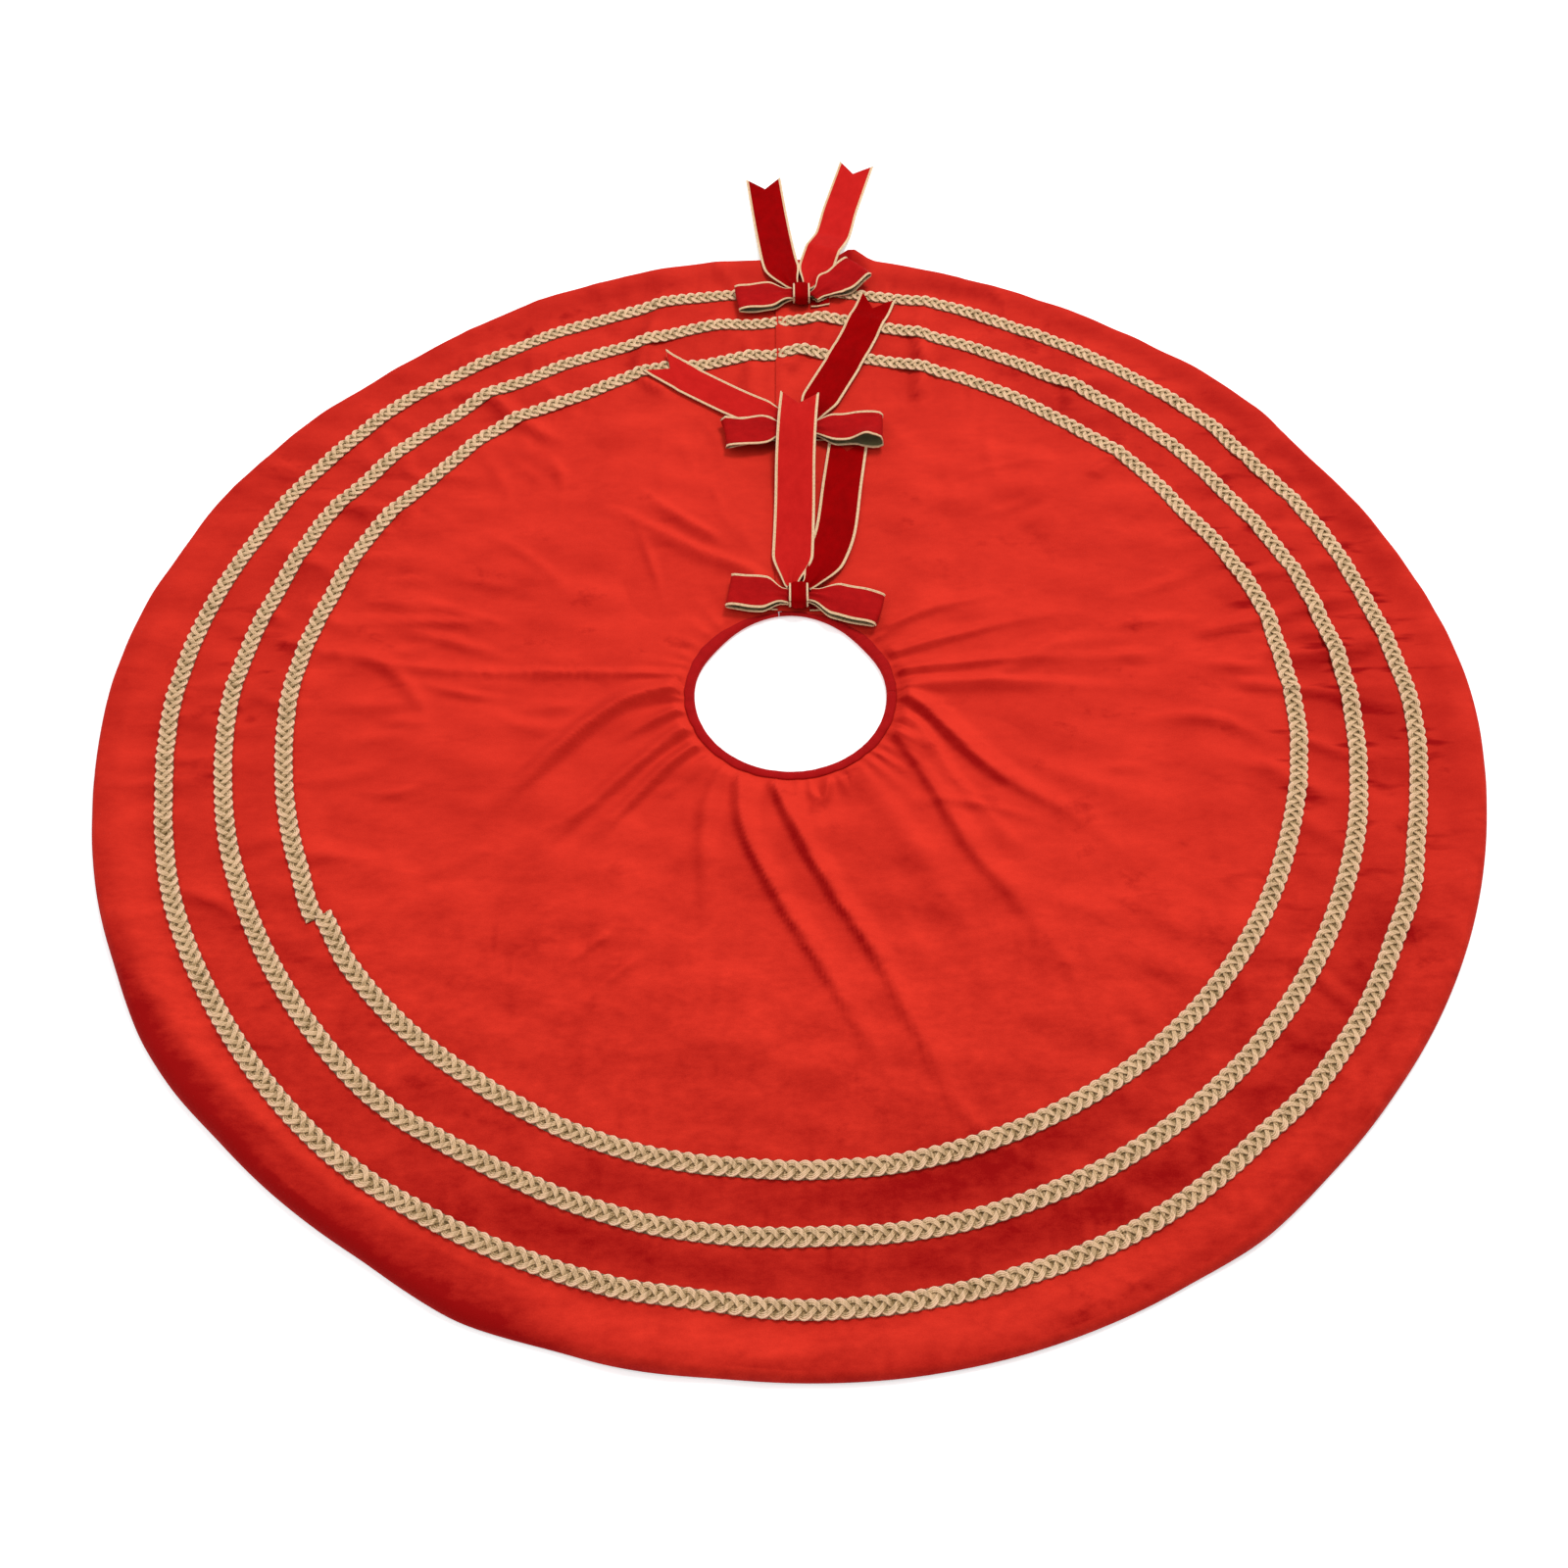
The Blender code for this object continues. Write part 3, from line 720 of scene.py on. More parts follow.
def pile_tone_and_shade_field(x, y, slope_x, slope_y, roll):
    """How bright the pile lies, from 0 to 1. Most of it is painted shade: darker where the cloth
    slopes down towards the front and the left, and over the rim's roll, most at the left front;
    listed patches paint shade, and a few paint light. It is also darker between the braids at
    the front, towards the back and towards the far left."""
    azimuth, radius = polar(x, y)
    front = bell(azimuth - 180.0, 75.0)
    nap = 0.70 - (0.08 + 0.12 * front) * smooth((radius - 0.43) / 0.03)
    # Painted shade and painted light in listed patches.
    for place, span, middle, width, amount in PAINTED_LIGHT_AND_SHADE_PATCHES:
        away = degrees_past(azimuth, place)
        nap = nap + amount * bell(away, span) * bell(radius - middle, width)
    # Painted shade over the rim's roll at the left front, where the pile faces the front.
    rolled = smooth((azimuth - 193.0) / 10.0) * smooth((252.0 - azimuth) / 20.0)
    start = np.interp(azimuth, [195.0, 203.0, 225.0, 240.0], [0.574, 0.565, 0.571, 0.588])
    nap = nap - rolled * (0.50 * smooth((radius - start) / 0.012)
                          + 0.10 * smooth((radius - 0.594) / 0.012))
    # Painted shade over the rim's roll all round.
    nap = nap - 0.22 * np.sin(roll) ** 4
    nap = nap - 0.09 * smooth((y + 0.10) / 0.50) - 0.05 * smooth((-x - 0.40) / 0.15)
    # Painted shade on slopes that face the front and the left.
    nap = nap - 1.25 * np.clip(slope_y, -0.10, 0.30) - 0.8 * np.clip(slope_x, -0.12, 0.36)
    return nap


PUCKER_SHADE_SPOTS = [
    # azimuth, radius, spread in metres, how much stronger the painted pucker shade shows
    (222, .345, .040, .45), (208, .300, .035, .35), (172, .400, .050, .15), (122, .410, .060, .20),
    (192, .475, .030, .12), (176, .520, .032, .14), (140, .340, .060, .15), (235, .480, .040, .15),
]


def pucker_shade_fields(x, y):
    """How strongly painted shade draws short pucker marks, sideways and lengthways. The marks run
    outwards, are strongest where a braid is sewn on at the right, and are weak under the bows."""
    azimuth, radius = polar(x, y)
    sewn = sum(bell(radius - middle, 0.020) for middle in BRAID_R.values())
    strength = (0.10 + 0.70 * sewn * (0.30 + 0.90 * bell(azimuth - 82.0, 27.0))) * calm(x, y)
    for place, out, spread, amount in PUCKER_SHADE_SPOTS:
        spot = plan_point(place, out)
        strength = strength + amount * bell(np.hypot(x - spot[0], y - spot[1]), spread)
    strength = strength * smooth((radius - 0.20) / 0.10)
    share = np.sin(np.radians(azimuth)) ** 2
    return strength * share, strength * (1.0 - share)


def velvet_grid():
    """The velvet's upper face. Rows run from under the binding to the rim and down round its
    roll, a quarter of an ellipse, to the floor. The slit's edges turn down, the right one
    over the left."""
    inner = HOLE_R + TUCK
    turn = np.linspace(0.0, 0.5 * math.pi, ROLL_ROWS)
    outwards = np.linspace(0.0, 1.0, FLAT_ROWS)
    last = SKIRT_R - ROLL_INSET
    flat = inner + (last - inner) * (0.8 + 0.2 * outwards) * outwards
    rows = np.concatenate([flat, np.full(ROLL_ROWS - 1, last)])
    azimuth = slit_azimuths(rows, FLAP_COLUMNS, MAIN_COLUMNS, SLIT_X - EDGE_BACK,
                            SLIT_X - OVERLAP)
    roll = RIM_ROLL(azimuth) * 0.001
    share = np.concatenate([(flat - inner) / (flat[-1] - inner), np.ones(ROLL_ROWS - 1)])[:, None]
    radius = (rows[:, None] + (ROLL_INSET - roll) * share ** 8
              + (hole_edge(azimuth) - HOLE_R) * (1.0 - share) ** 20)
    angle = np.concatenate([np.zeros(len(flat)), turn[1:]])[:, None]
    top = radius + waver(azimuth, radius)
    place = plan_point(azimuth, top)
    height = cloth_height(place[..., 0], place[..., 1])
    foot = 0.0005 + VELVET_THICK
    height = foot + (height - foot) * np.cos(angle)
    place = plan_point(azimuth, top + roll * np.sin(angle))
    x, y = place[..., 0], place[..., 1]
    behind = y > 0.0
    from_right = np.where(behind, x - (SLIT_X - OVERLAP), 1.0)
    from_left = np.where(behind, SLIT_X - EDGE_BACK - x, 1.0)
    flap_side = np.arange(azimuth.shape[1]) <= FLAP_COLUMNS
    lifted = 0.0028 * smooth(1.0 - from_right / 0.020) - 0.0010 * smooth(1.0 - from_right / 0.003)
    lowered = -0.0012 * smooth(1.0 - from_left / 0.006)
    height = height + np.where(flap_side, lifted, lowered) * np.cos(angle)
    return np.dstack([x, y, height]), angle


def build_velvet():
    grid, roll = velvet_grid()
    normals = grid_normals(grid)
    # The pile's brightness carries painted shade from the slopes and the rim's roll.
    steepness = np.where(roll > 0.0, 9.9, np.maximum(normals[..., 2], 0.2))
    nap = pile_tone_and_shade_field(grid[..., 0], grid[..., 1], -normals[..., 0] / steepness,
                    -normals[..., 1] / steepness, roll)
    pile_tone_and_shades = split_at_fold(nap, FLAP_COLUMNS)
    pucker_shade = [split_at_fold(field, FLAP_COLUMNS)
               for field in pucker_shade_fields(grid[..., 0], grid[..., 1])]
    sides = split_at_fold(normals, FLAP_COLUMNS)
    for half, part in split_at_fold(grid, FLAP_COLUMNS).items():
        worn = 0.50 + 0.62 * smooth((-part[..., 1] - 0.05) / 0.30)
        fields = {"nap": pile_tone_and_shades[half], "worn": worn, "pucker_x": pucker_shade[0][half],
                  "pucker_y": pucker_shade[1][half]}
        piece = layer_piece(f"velvet_top_{half}", part, sides[half], VELVET_THICK,
                            FINISHES["velvet"], fields)
        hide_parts(f"velvet_{half}")
        place_half(piece, half)
        across = 2 * SKIRT_R if half == "main" else SKIRT_R
        sector_area(half, SKIRT_R, HOLE_R)


# The lining

LINING_ROWS = 40
LINING_FLAP_COLUMNS = 110
LINING_MAIN_COLUMNS = 180
LINING_BUNCHED = 1.6       # closer columns near the fold, where the flap bends sharply
LINING_THICK = 0.0006
LINING_FOLLOWS = 0.25      # its share of the velvet's folds


def build_lining():
    """A thin woven sheet under the velvet. It follows a quarter of the velvet's folds."""
    rows = np.linspace(BINDING_R + 0.001, LINING_R, LINING_ROWS)
    azimuth = slit_azimuths(rows, LINING_FLAP_COLUMNS, LINING_MAIN_COLUMNS, SLIT_X - 0.003,
                            SLIT_X + 0.002, bunched=LINING_BUNCHED)
    radius = rows[:, None] + waver(azimuth, rows[:, None])
    place = plan_point(azimuth, radius)
    x, y = place[..., 0], place[..., 1]
    folds = cloth_height(x, y) - VELVET_Z
    near_rim = smooth((rows[:, None] - (LINING_R - 0.05)) / 0.03)
    height = LINING_Z - 0.0002 + LINING_FOLLOWS * np.maximum(folds, 0.0) * (1.0 - near_rim)
    grid = np.dstack([x, y, height])
    normals = grid_normals(grid)
    sides = split_at_fold(normals, LINING_FLAP_COLUMNS)
    for half, part in split_at_fold(grid, LINING_FLAP_COLUMNS).items():
        piece = layer_piece(f"lining_under_{half}", part, sides[half], LINING_THICK,
                            FINISHES["lining"])
        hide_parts(f"lining_{half}")
        place_half(piece, half)
        across = 2 * LINING_R if half == "main" else LINING_R
        sector_area(half, LINING_R, BINDING_R)


# The neck binding

BINDING_FLAP_COLUMNS = 90
BINDING_MAIN_COLUMNS = 270
BINDING_THICK = 0.0006
BINDING_LOW = 0.0008       # height of the strip's lowest line
BINDING_ROUND = 0.0022     # how far the strip bulges towards the hole


def build_binding():
    """A folded strip round the hole: a flattened C in section, from under the skirt, up round
    the cloth's edge and over it, with a slightly uneven outer lip. The hole's edge is a little
    straighter on both sides of the neck bow."""
    angles = np.radians([-90, -60, -30, 0, 30, 60, 90])
    azimuth = slit_azimuths(np.array([HOLE_R]), BINDING_FLAP_COLUMNS, BINDING_MAIN_COLUMNS,
                            SLIT_X - 0.0004, SLIT_X + 0.0004)[0]
    draw = np.random.default_rng(5)
    swell = 0.0004 * np.interp(azimuth, np.linspace(0, 360, 70), draw.normal(0, 1, 70))
    high = cloth_height(*plan_point(azimuth, np.full(azimuth.shape, BINDING_R)).T) + 0.0010
    middle, half = (high + BINDING_LOW) / 2, (high - BINDING_LOW) / 2
    edge = hole_edge(azimuth)
    inward = edge[:, None] + BINDING_ROUND - BINDING_ROUND * np.cos(angles)[None]
    rise = middle[:, None] + half[:, None] * np.sin(angles)[None]
    lip = BINDING_R - 0.0010 + swell
    radius = np.concatenate([lip[:, None], inward, ((edge + lip) / 2)[:, None],
                             (lip - 0.0008)[:, None], lip[:, None],
                             (lip - 0.0004)[:, None]], axis=1)
    height = np.concatenate([np.full_like(lip, BINDING_LOW)[:, None], rise,
                             (high + 0.0004)[:, None],
                             high[:, None], (high - 0.0005)[:, None],
                             (high - 0.0011)[:, None]], axis=1)
    place = plan_point(azimuth[:, None], radius)
    section = np.dstack([place[..., 0], place[..., 1], height]).transpose(1, 0, 2)
    sides = split_at_fold(-grid_normals(section), BINDING_FLAP_COLUMNS)
    for half_name, part in split_at_fold(section, BINDING_FLAP_COLUMNS).items():
        points, faces, _ = shell(part, sides[half_name], BINDING_THICK)
        along = np.linspace(0.0, 1.0, part.shape[1]) * HOLE_R * math.tau
        uv = np.stack(np.meshgrid(along, np.linspace(0.0, 0.02, part.shape[0])), axis=-1)
        piece = make_piece(f"neck_binding_strip_{half_name}", points, faces[:, ::-1],
                           [FINISHES["binding"]], uv=np.tile(uv.reshape(-1, 2), (2, 1)))
        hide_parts(f"neck_binding_{half_name}")
        place_half(piece, half_name)


# The gimp braids

CORD_R = (0.00090, 0.00090)    # half-width and half-height of one cord of the plait
TAPE_R = (0.00740, 0.00045)    # the same of the flat tape that the plait is sewn along
PLAIT = 0.0294                 # length of one full turn of a strand; each edge shows three
STRAND_SWING = 0.0057
CORD_GAP = 0.00155
CORD_RISE = 0.0007             # how far a strand rises over its neighbours and dips under them
BRAID_HIGH = 0.0037            # from the cloth to the top of the plait
BRAID_FORWARD = 0.0033         # how far towards the front the rings lie off centre
STEPS_A_TURN = 16              # points along one full turn of a strand
BRIDGE_REACH = 14              # how many points away the cloth can hold the braid up
BRIDGE_FALL = 0.00035          # how far the braid sinks from one point to the next
SPLICE_SHIFT = 0.0035          # how far the two ends at the splice lie off the ring
EDGE_AT = 0.0075               # how far off the middle line the cloth under an edge is read
TAPE_LIFT = 0.00055            # from the cloth to the tape's middle
STRAND_LIFT = 0.00120          # from the tape's middle to the strands' middle
YARN_ALONG = 1.6               # stretches the cloth coordinates along a cord
YARN_ROUND = 0.0066            # the cloth coordinate's length round a cord

# Millimetres outwards, at azimuths
BRAID_WAVER = {
    "inner": round_table({0: 7, 2: 9, 5: 3, 12: 3, 19: 0, 25: 1, 30: 3, 36: 0, 41: -1, 47: 0,
                          53: -2, 60: -4, 70: -2, 79: 1, 84: -3, 95: -1, 108: -3, 130: 0, 168: 1,
                          185: -1, 196: 1, 213: -2, 238: 0, 248: -2, 258: -3, 270: -4, 285: -6,
                          292: -3, 300: -1, 306: -5, 311: -3, 316: 3, 322: 3, 328: -2, 333: -3,
                          340: 3, 344: 4, 348: -5, 351: -3, 355: 2, 358: 0}),
    "middle": round_table({0: 4, 4: 9, 8: 6, 12: 0, 16: 2, 20: -2, 26: 0, 32: -1, 36: 1, 40: -1,
                           60: -3, 68: -5, 74: -2, 86: -4, 98: -2, 116: 0, 130: 3, 166: 3,
                           178: 0, 183: 2, 190: 1, 200: -1, 208: -2, 219: 3, 245: -3, 257: -3,
                           270: -4, 283: -7, 290: -5, 296: 1, 303: -1, 312: 2, 316: -1, 321: 5,
                           326: -3, 332: -2, 338: -3, 344: -3, 347: 0, 352: 3, 355: -3, 358: 1}),
    "outer": round_table({0: -1, 6: 0, 10: -2, 16: 5, 21: 1, 26: -1, 30: 1, 40: -1, 50: 1,
                          56: -4, 62: 0, 70: 0, 80: -3, 87: -4, 95: 0, 107: -2, 112: 2, 117: 0,
                          125: 4, 134: 5, 140: 1, 147: 3, 160: 3, 170: 3, 181: 5, 188: 1, 200: 0,
                          217: 4, 245: 0, 260: -4, 267: -3, 273: -5, 286: -7, 291: -5, 297: 0,
                          304: 1, 309: 3, 314: 6, 320: 2, 324: 0, 328: -3, 334: 1, 340: -2,
                          346: 1, 352: -2, 357: -2}),
}


def braid_line(ring, azimuth):
    """The radius of a braid's middle line."""
    return (BRAID_R[ring] + BRAID_WAVER[ring](azimuth) * 0.001 + waver(azimuth, BRAID_R[ring])
            - BRAID_FORWARD * np.cos(np.radians(azimuth)))


TUBE_SIDES = 6
AROUND = np.arange(TUBE_SIDES) / TUBE_SIDES * math.tau


def tube_points(line, side, up, half_width, half_height):
    """Rings of points round a line: an ellipse carried along it."""
    rings = (line[:, None] + half_width * np.cos(AROUND)[None, :, None] * side[:, None]
             + half_height * np.sin(AROUND)[None, :, None] * up[:, None])
    return rings.reshape(-1, 3)


def tube_ends(first, count):
    """Two quads over each end of a six-sided tube whose points start at an index."""
    ends = []
    for tip, turn in ((0, 1), (count - 1, -1)):
        cap = first + tip * TUBE_SIDES + np.arange(TUBE_SIDES)[::turn]
        ends.append(cap[[[0, 1, 2, 3], [0, 3, 4, 5]]])
    return ends


def braid_ground(ring, azimuth):
    """The radius of a braid's middle line and the height of the cloth under its inner edge,
    its middle and its outer edge, smoothed as the stiffer braid bridges the small wrinkles."""
    radius = braid_line(ring, azimuth)
    heights = []
    for shift in (-EDGE_AT, -0.0035, 0.0, 0.0035, EDGE_AT):
        place = plan_point(azimuth, radius + shift)
        heights.append(cloth_height(place[:, 0], place[:, 1]))
    inner, outer = np.maximum(heights[0], heights[1]), np.maximum(heights[3], heights[4])
    weights = bell(np.linspace(-1.6, 1.6, 13), 1.0)
    weights /= weights.sum()
    margin = len(weights) // 2
    fall = BRIDGE_FALL * np.abs(np.arange(-BRIDGE_REACH, BRIDGE_REACH + 1))
    lines = []
    for line in (inner, np.maximum.reduce(heights[1:4]), outer):
        padded = np.pad(line, BRIDGE_REACH, "edge")
        near = np.lib.stride_tricks.sliding_window_view(padded, len(fall))
        bridged = (near - fall).max(1)
        padded = np.concatenate([bridged[:margin], bridged, bridged[-margin:]])
        lines.append(np.maximum(np.convolve(padded, weights, "valid"), line))
    return radius, lines


def braid_cords(ring, start, end, phase=0.0, shift=None):
    """A tape and the nine cords of a three-strand plait on it, between two azimuths. Each
    strand is three cords, side by side. It swings across the braid as a sine of its place
    along it and rises and dips at twice that rate, so that it passes over one neighbour and
    under the next. Shift moves the middle line outwards."""
    length = math.radians(end - start) * BRAID_R[ring]
    count = int(round(length / PLAIT * STEPS_A_TURN)) + 1
    azimuth = np.linspace(start, end, count)
    travel = np.linspace(0.0, length, count)
    radius, (inner, middle, outer) = braid_ground(ring, azimuth)
    if shift is not None:
        radius = radius + shift(azimuth)
    # The last two values of each tube are painted light and shade: an even level, low for the tape
    # that lies in shade under the plait, and how much lighter its upper side is painted.
    cords = [(np.zeros(count), 0.0, TAPE_R, np.full(count, 0.24), 0.02)]
    for strand in range(3):
        angle = travel / PLAIT * math.tau + phase + strand * math.tau / 3
        swing = STRAND_SWING * np.sin(angle)
        slope = np.cos(angle) * STRAND_SWING * math.tau / PLAIT
        rise = CORD_RISE * np.sin(2.0 * angle)
        lean = np.sqrt(1.0 + slope ** 2)
        for cord in (-1.0, 0.0, 1.0):
            across = swing + cord * CORD_GAP * (0.80 + 0.20 * lean)
            edge = np.abs(across) / (STRAND_SWING + CORD_GAP)
            # Painted highlight towards the braid's edges, which are also a paler yarn of their
            # own, and where a strand rises; painted shade where it dips.
            cord_light_and_shade = 0.34 + 0.62 * smooth((edge - 0.60) / 0.36) + rise / CORD_RISE * 0.24
            cords.append((across, STRAND_LIFT + rise, CORD_R, cord_light_and_shade, 0.26))
    points, faces, uv, crown = [], [], [], []
    for across, above, (half_width, half_height), cord_light_and_shade, relief in cords:
        share = across / EDGE_AT
        ground = np.where(share < 0, middle + (inner - middle) * -share,
                          middle + (outer - middle) * share)
        height = ground + TAPE_LIFT + above
        line = np.column_stack([plan_point(azimuth, radius + across), height])
        ahead = unit(np.gradient(line, axis=0))
        side = unit(np.cross(ahead, [0.0, 0.0, 1.0]))
        up = np.cross(side, ahead)
        first = sum(len(part) for part in points)
        points.append(tube_points(line, side, up, half_width, half_height))
        faces.append(grid_faces(count, TUBE_SIDES, ring=True, start=first)[:, ::-1])
        faces.extend(tube_ends(first, count))
        u = np.repeat(travel * YARN_ALONG, TUBE_SIDES)
        v = np.tile(np.arange(TUBE_SIDES) / TUBE_SIDES * YARN_ROUND, count)
        uv.append(np.column_stack([u, v]))
        # Painted light on each tube's upper side and painted shade on its lower side.
        crown.append(np.repeat(cord_light_and_shade, TUBE_SIDES) + np.tile(relief * np.sin(AROUND), count))
    return (np.concatenate(points), np.concatenate(faces), np.concatenate(uv),
            np.concatenate(crown))


def braid_piece(name, ring, start, end, nodes, half, phase=0.0, shift=None):
    """One length of a braid, from one azimuth to another."""
    points, faces, uv, crown = braid_cords(ring, start, end, phase, shift)
    piece = make_piece(name, points, faces, [FINISHES["braid"]], uv=uv, fields={"crown": crown})
    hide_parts(*nodes)
    place_half(piece, half)


def build_braids():
    """Each ring's flap and main lengths meet at the fold line with their strands in step. The
    inner ring's main length is two, whose ends pass each other at the splice."""
    for ring in ("outer", "middle", "inner"):
        right = math.degrees(math.asin((SLIT_X - EDGE_BACK) / BRAID_R[ring]))
        left = 360.0 + math.degrees(math.asin((SLIT_X - 0.003) / BRAID_R[ring]))
        matched = -math.radians(90.0) * BRAID_R[ring] / PLAIT * math.tau
        flap_phase = -math.radians(90.0 - right) * BRAID_R[ring] / PLAIT * math.tau
        braid_piece(f"{ring}_gimp_flap", ring, right, 90.0, [f"{ring}_braid_flap"], "flap",
                    phase=flap_phase)
        if ring == "inner":
            over = SPLICE_AZIMUTH + 1.0
            braid_piece("inner_gimp_front", ring, 90.0, over, ["inner_braid_front"], "main",
                        shift=lambda a: -SPLICE_SHIFT * smooth((a - 232.0) / 6.0))
            braid_piece("inner_gimp_left", ring, over - 0.15, left, ["inner_braid_left"], "main",
                        phase=matched,
                        shift=lambda a: SPLICE_SHIFT * smooth((246.0 - a) / 6.0))
        else:
            braid_piece(f"{ring}_gimp_main", ring, 90.0, left, [f"{ring}_braid_main"], "main")


# Ribbons

def ribbon_frame(line, side):
    """Distances along a line, and its side and upward unit vectors. The side is level unless
    it is given."""
    ahead = unit(np.gradient(line, axis=0))
    if side is None:
        side = unit(np.cross(ahead, [0.0, 0.0, 1.0]))
    side = np.broadcast_to(side, ahead.shape)
    side = unit(side - (side * ahead).sum(1, keepdims=True) * ahead)
    return distances(line), side, np.cross(side, ahead)


def at(place, travel, values):
    """Values along a line, read at any distances."""
    return np.stack([np.interp(place, travel, values[:, axis]) for axis in range(3)], axis=-1)


def ribbon_piece(name, line, widths, face, side=None, notch=0.0, pleat=None, edge_lift=None,
                 camber=0.0006):
    """A wired velvet ribbon along a line. A point is the line's place at a distance, plus its
    side vector times a share of the width, plus its upward vector times a small rise: camber
    in the middle and pleats where it is gathered. A notch pulls the end back towards the
    middle of the ribbon. The gold edges are strips of the same cloth with a wired bead."""
    line = np.asarray(line, float)
    travel, side, up = ribbon_frame(line, side)
    length = travel[-1]
    rows = max(24, int(length / RIBBON_STEP))
    rim = 1.0 - 2.0 * EDGE_W / RIBBON_W
    shares = np.concatenate([[-1.0, -rim - 0.002], np.linspace(-rim + 0.002, rim - 0.002, 13),
                             [rim + 0.002, 1.0]])
    places = np.linspace(0.0, length, rows)[:, None]
    cut = notch * (1.0 - np.abs(shares))[None] * smooth((places - length + 0.045) / 0.045)
    places = places - cut
    width = np.interp(places, travel, widths(travel))
    fold = pleat(places) if pleat is not None else 0.0
    rise = camber * (1.0 - shares ** 2)[None] + fold * np.cos(2.5 * math.pi * shares)[None]
    if edge_lift is not None:
        rise = rise + edge_lift(places, shares[None])
    upper = (at(places, travel, line) + at(places, travel, side) * (width * shares / 2)[..., None]
             + at(places, travel, up) * rise[..., None])
    normals = grid_normals(upper)
    points, faces, _ = shell(upper, normals, RIBBON_THICK)
    columns = len(shares)
    cells = np.arange(columns - 1)
    at_edge = (cells < 1) | (cells >= columns - 2)
    top_kinds = np.tile(np.where(at_edge, 1, 0), rows - 1)
    low_kinds = np.tile(np.where(at_edge, 1, 2), rows - 1)
    kinds = np.concatenate([top_kinds, low_kinds, np.ones(len(faces) - 2 * len(top_kinds))])
    uv = np.dstack([np.broadcast_to(places, width.shape), np.broadcast_to(shares, width.shape)
                    * RIBBON_W / 2]).reshape(-1, 2)
    parts = [(points, faces, np.tile(uv, (2, 1)), kinds,
              np.tile(np.broadcast_to(0.75, width.shape).ravel(), 2))]
    for column in (0, columns - 1):
        parts.append(bead(upper[:, column] - normals[:, column] * RIBBON_THICK / 2, WIRE_R))
    return join_parts(name, parts, [FINISHES[face], FINISHES["edge"], FINISHES["back"]])


def bead(line, radius, closed=False):
    """A round bead along a line: a circle carried along it, with flat ends. Finish 1."""
    ahead = unit(np.gradient(line, axis=0))
    if closed:
        ahead = unit(np.roll(line, -1, 0) - np.roll(line, 1, 0))
    helper = np.where(np.abs(ahead[:, 2:3]) > 0.9, [[1.0, 0.0, 0.0]], [[0.0, 0.0, 1.0]])
    side = unit(np.cross(ahead, helper))
    up = np.cross(side, ahead)
    points = tube_points(line, side, up, radius, radius)
    count = len(line)
    faces = [grid_faces(count, TUBE_SIDES, ring=True)[:, ::-1]]
    if closed:
        first = np.arange(TUBE_SIDES)
        last = (count - 1) * TUBE_SIDES + first
        faces.append(np.stack([last, first, np.roll(first, -1), np.roll(last, -1)], axis=-1))
    else:
        faces.extend(tube_ends(0, count))
    faces = np.concatenate(faces)
    travel = np.repeat(distances(line), TUBE_SIDES)
    uv = np.column_stack([travel, np.tile(AROUND * radius, count)])
    # Painted highlight on the bead's upper side and painted shade on its lower side.
    crown = np.tile(0.72 + 0.25 * np.sin(AROUND), count)
    return points, faces, uv, np.ones(len(faces)), crown


def join_parts(name, parts, finishes):
    """One piece from several (points, faces, uv, kinds, painted light and shade) parts."""
    faces, first = [], 0
    for part in parts:
        faces.append(part[1] + first)
        first += len(part[0])
    columns = list(zip(*parts))
    return make_piece(name, np.concatenate(columns[0]), np.concatenate(faces), finishes,
                      uv=np.concatenate(columns[2]), kinds=np.concatenate(columns[3]),
                      fields={"crown": np.concatenate(columns[4])})


def ground_height(x, y):
    """Height of the cloth, or of a braid where one lies, and of the floor beyond the rim."""
    azimuth, radius = polar(x, y)
    height = cloth_height(x, y)
    for ring in BRAID_R:
        aside = np.abs(radius - braid_line(ring, azimuth))
        height = height + BRAID_HIGH * smooth(1.6 - aside / 0.0085)
    inside = radius < SKIRT_R + waver(azimuth, SKIRT_R) + 0.002
    return np.where(inside, height, 0.0)


def above_cloth(line, half_width, clear=0.0014, steepest=0.30):
    """Lift a line so that a ribbon along it clears the cloth and the braids under its whole
    width, and bridges hollows: it never falls or rises more steeply than the given slope."""
    line = np.array(line, float)
    ahead = unit(np.gradient(line[:, :2], axis=0))
    across = np.column_stack([ahead[:, 1], -ahead[:, 0]])
    ground = np.zeros(len(line))
    for share in (-1.0, -0.66, -0.33, 0.0, 0.33, 0.66, 1.0):
        place = line[:, :2] + across * half_width[:, None] * share
        ground = np.maximum(ground, ground_height(place[:, 0], place[:, 1]))
    travel = distances(line[:, :2])
    apart = np.abs(travel[:, None] - travel[None])
    bridged = (ground[None] - steepest * apart).max(1)
    weights = bell(np.linspace(-1.5, 1.5, 7), 1.0)
    weights /= weights.sum()
    padded = np.pad(bridged, len(weights) // 2, "edge")
    bridged = np.maximum(np.convolve(padded, weights, "valid"), ground)
    line[:, 2] = np.maximum(line[:, 2], bridged + clear)
    return line


KNOT_SIZE = (0.020, 0.028, 0.0155)     # across the slit, along it, and high
GATHER_W = 0.014                       # a ribbon's width where the knot gathers it
TAIL_FULL_AT = 0.048                   # how far along it a tail reaches its full width
KNOT_BEAD_R = 0.0010

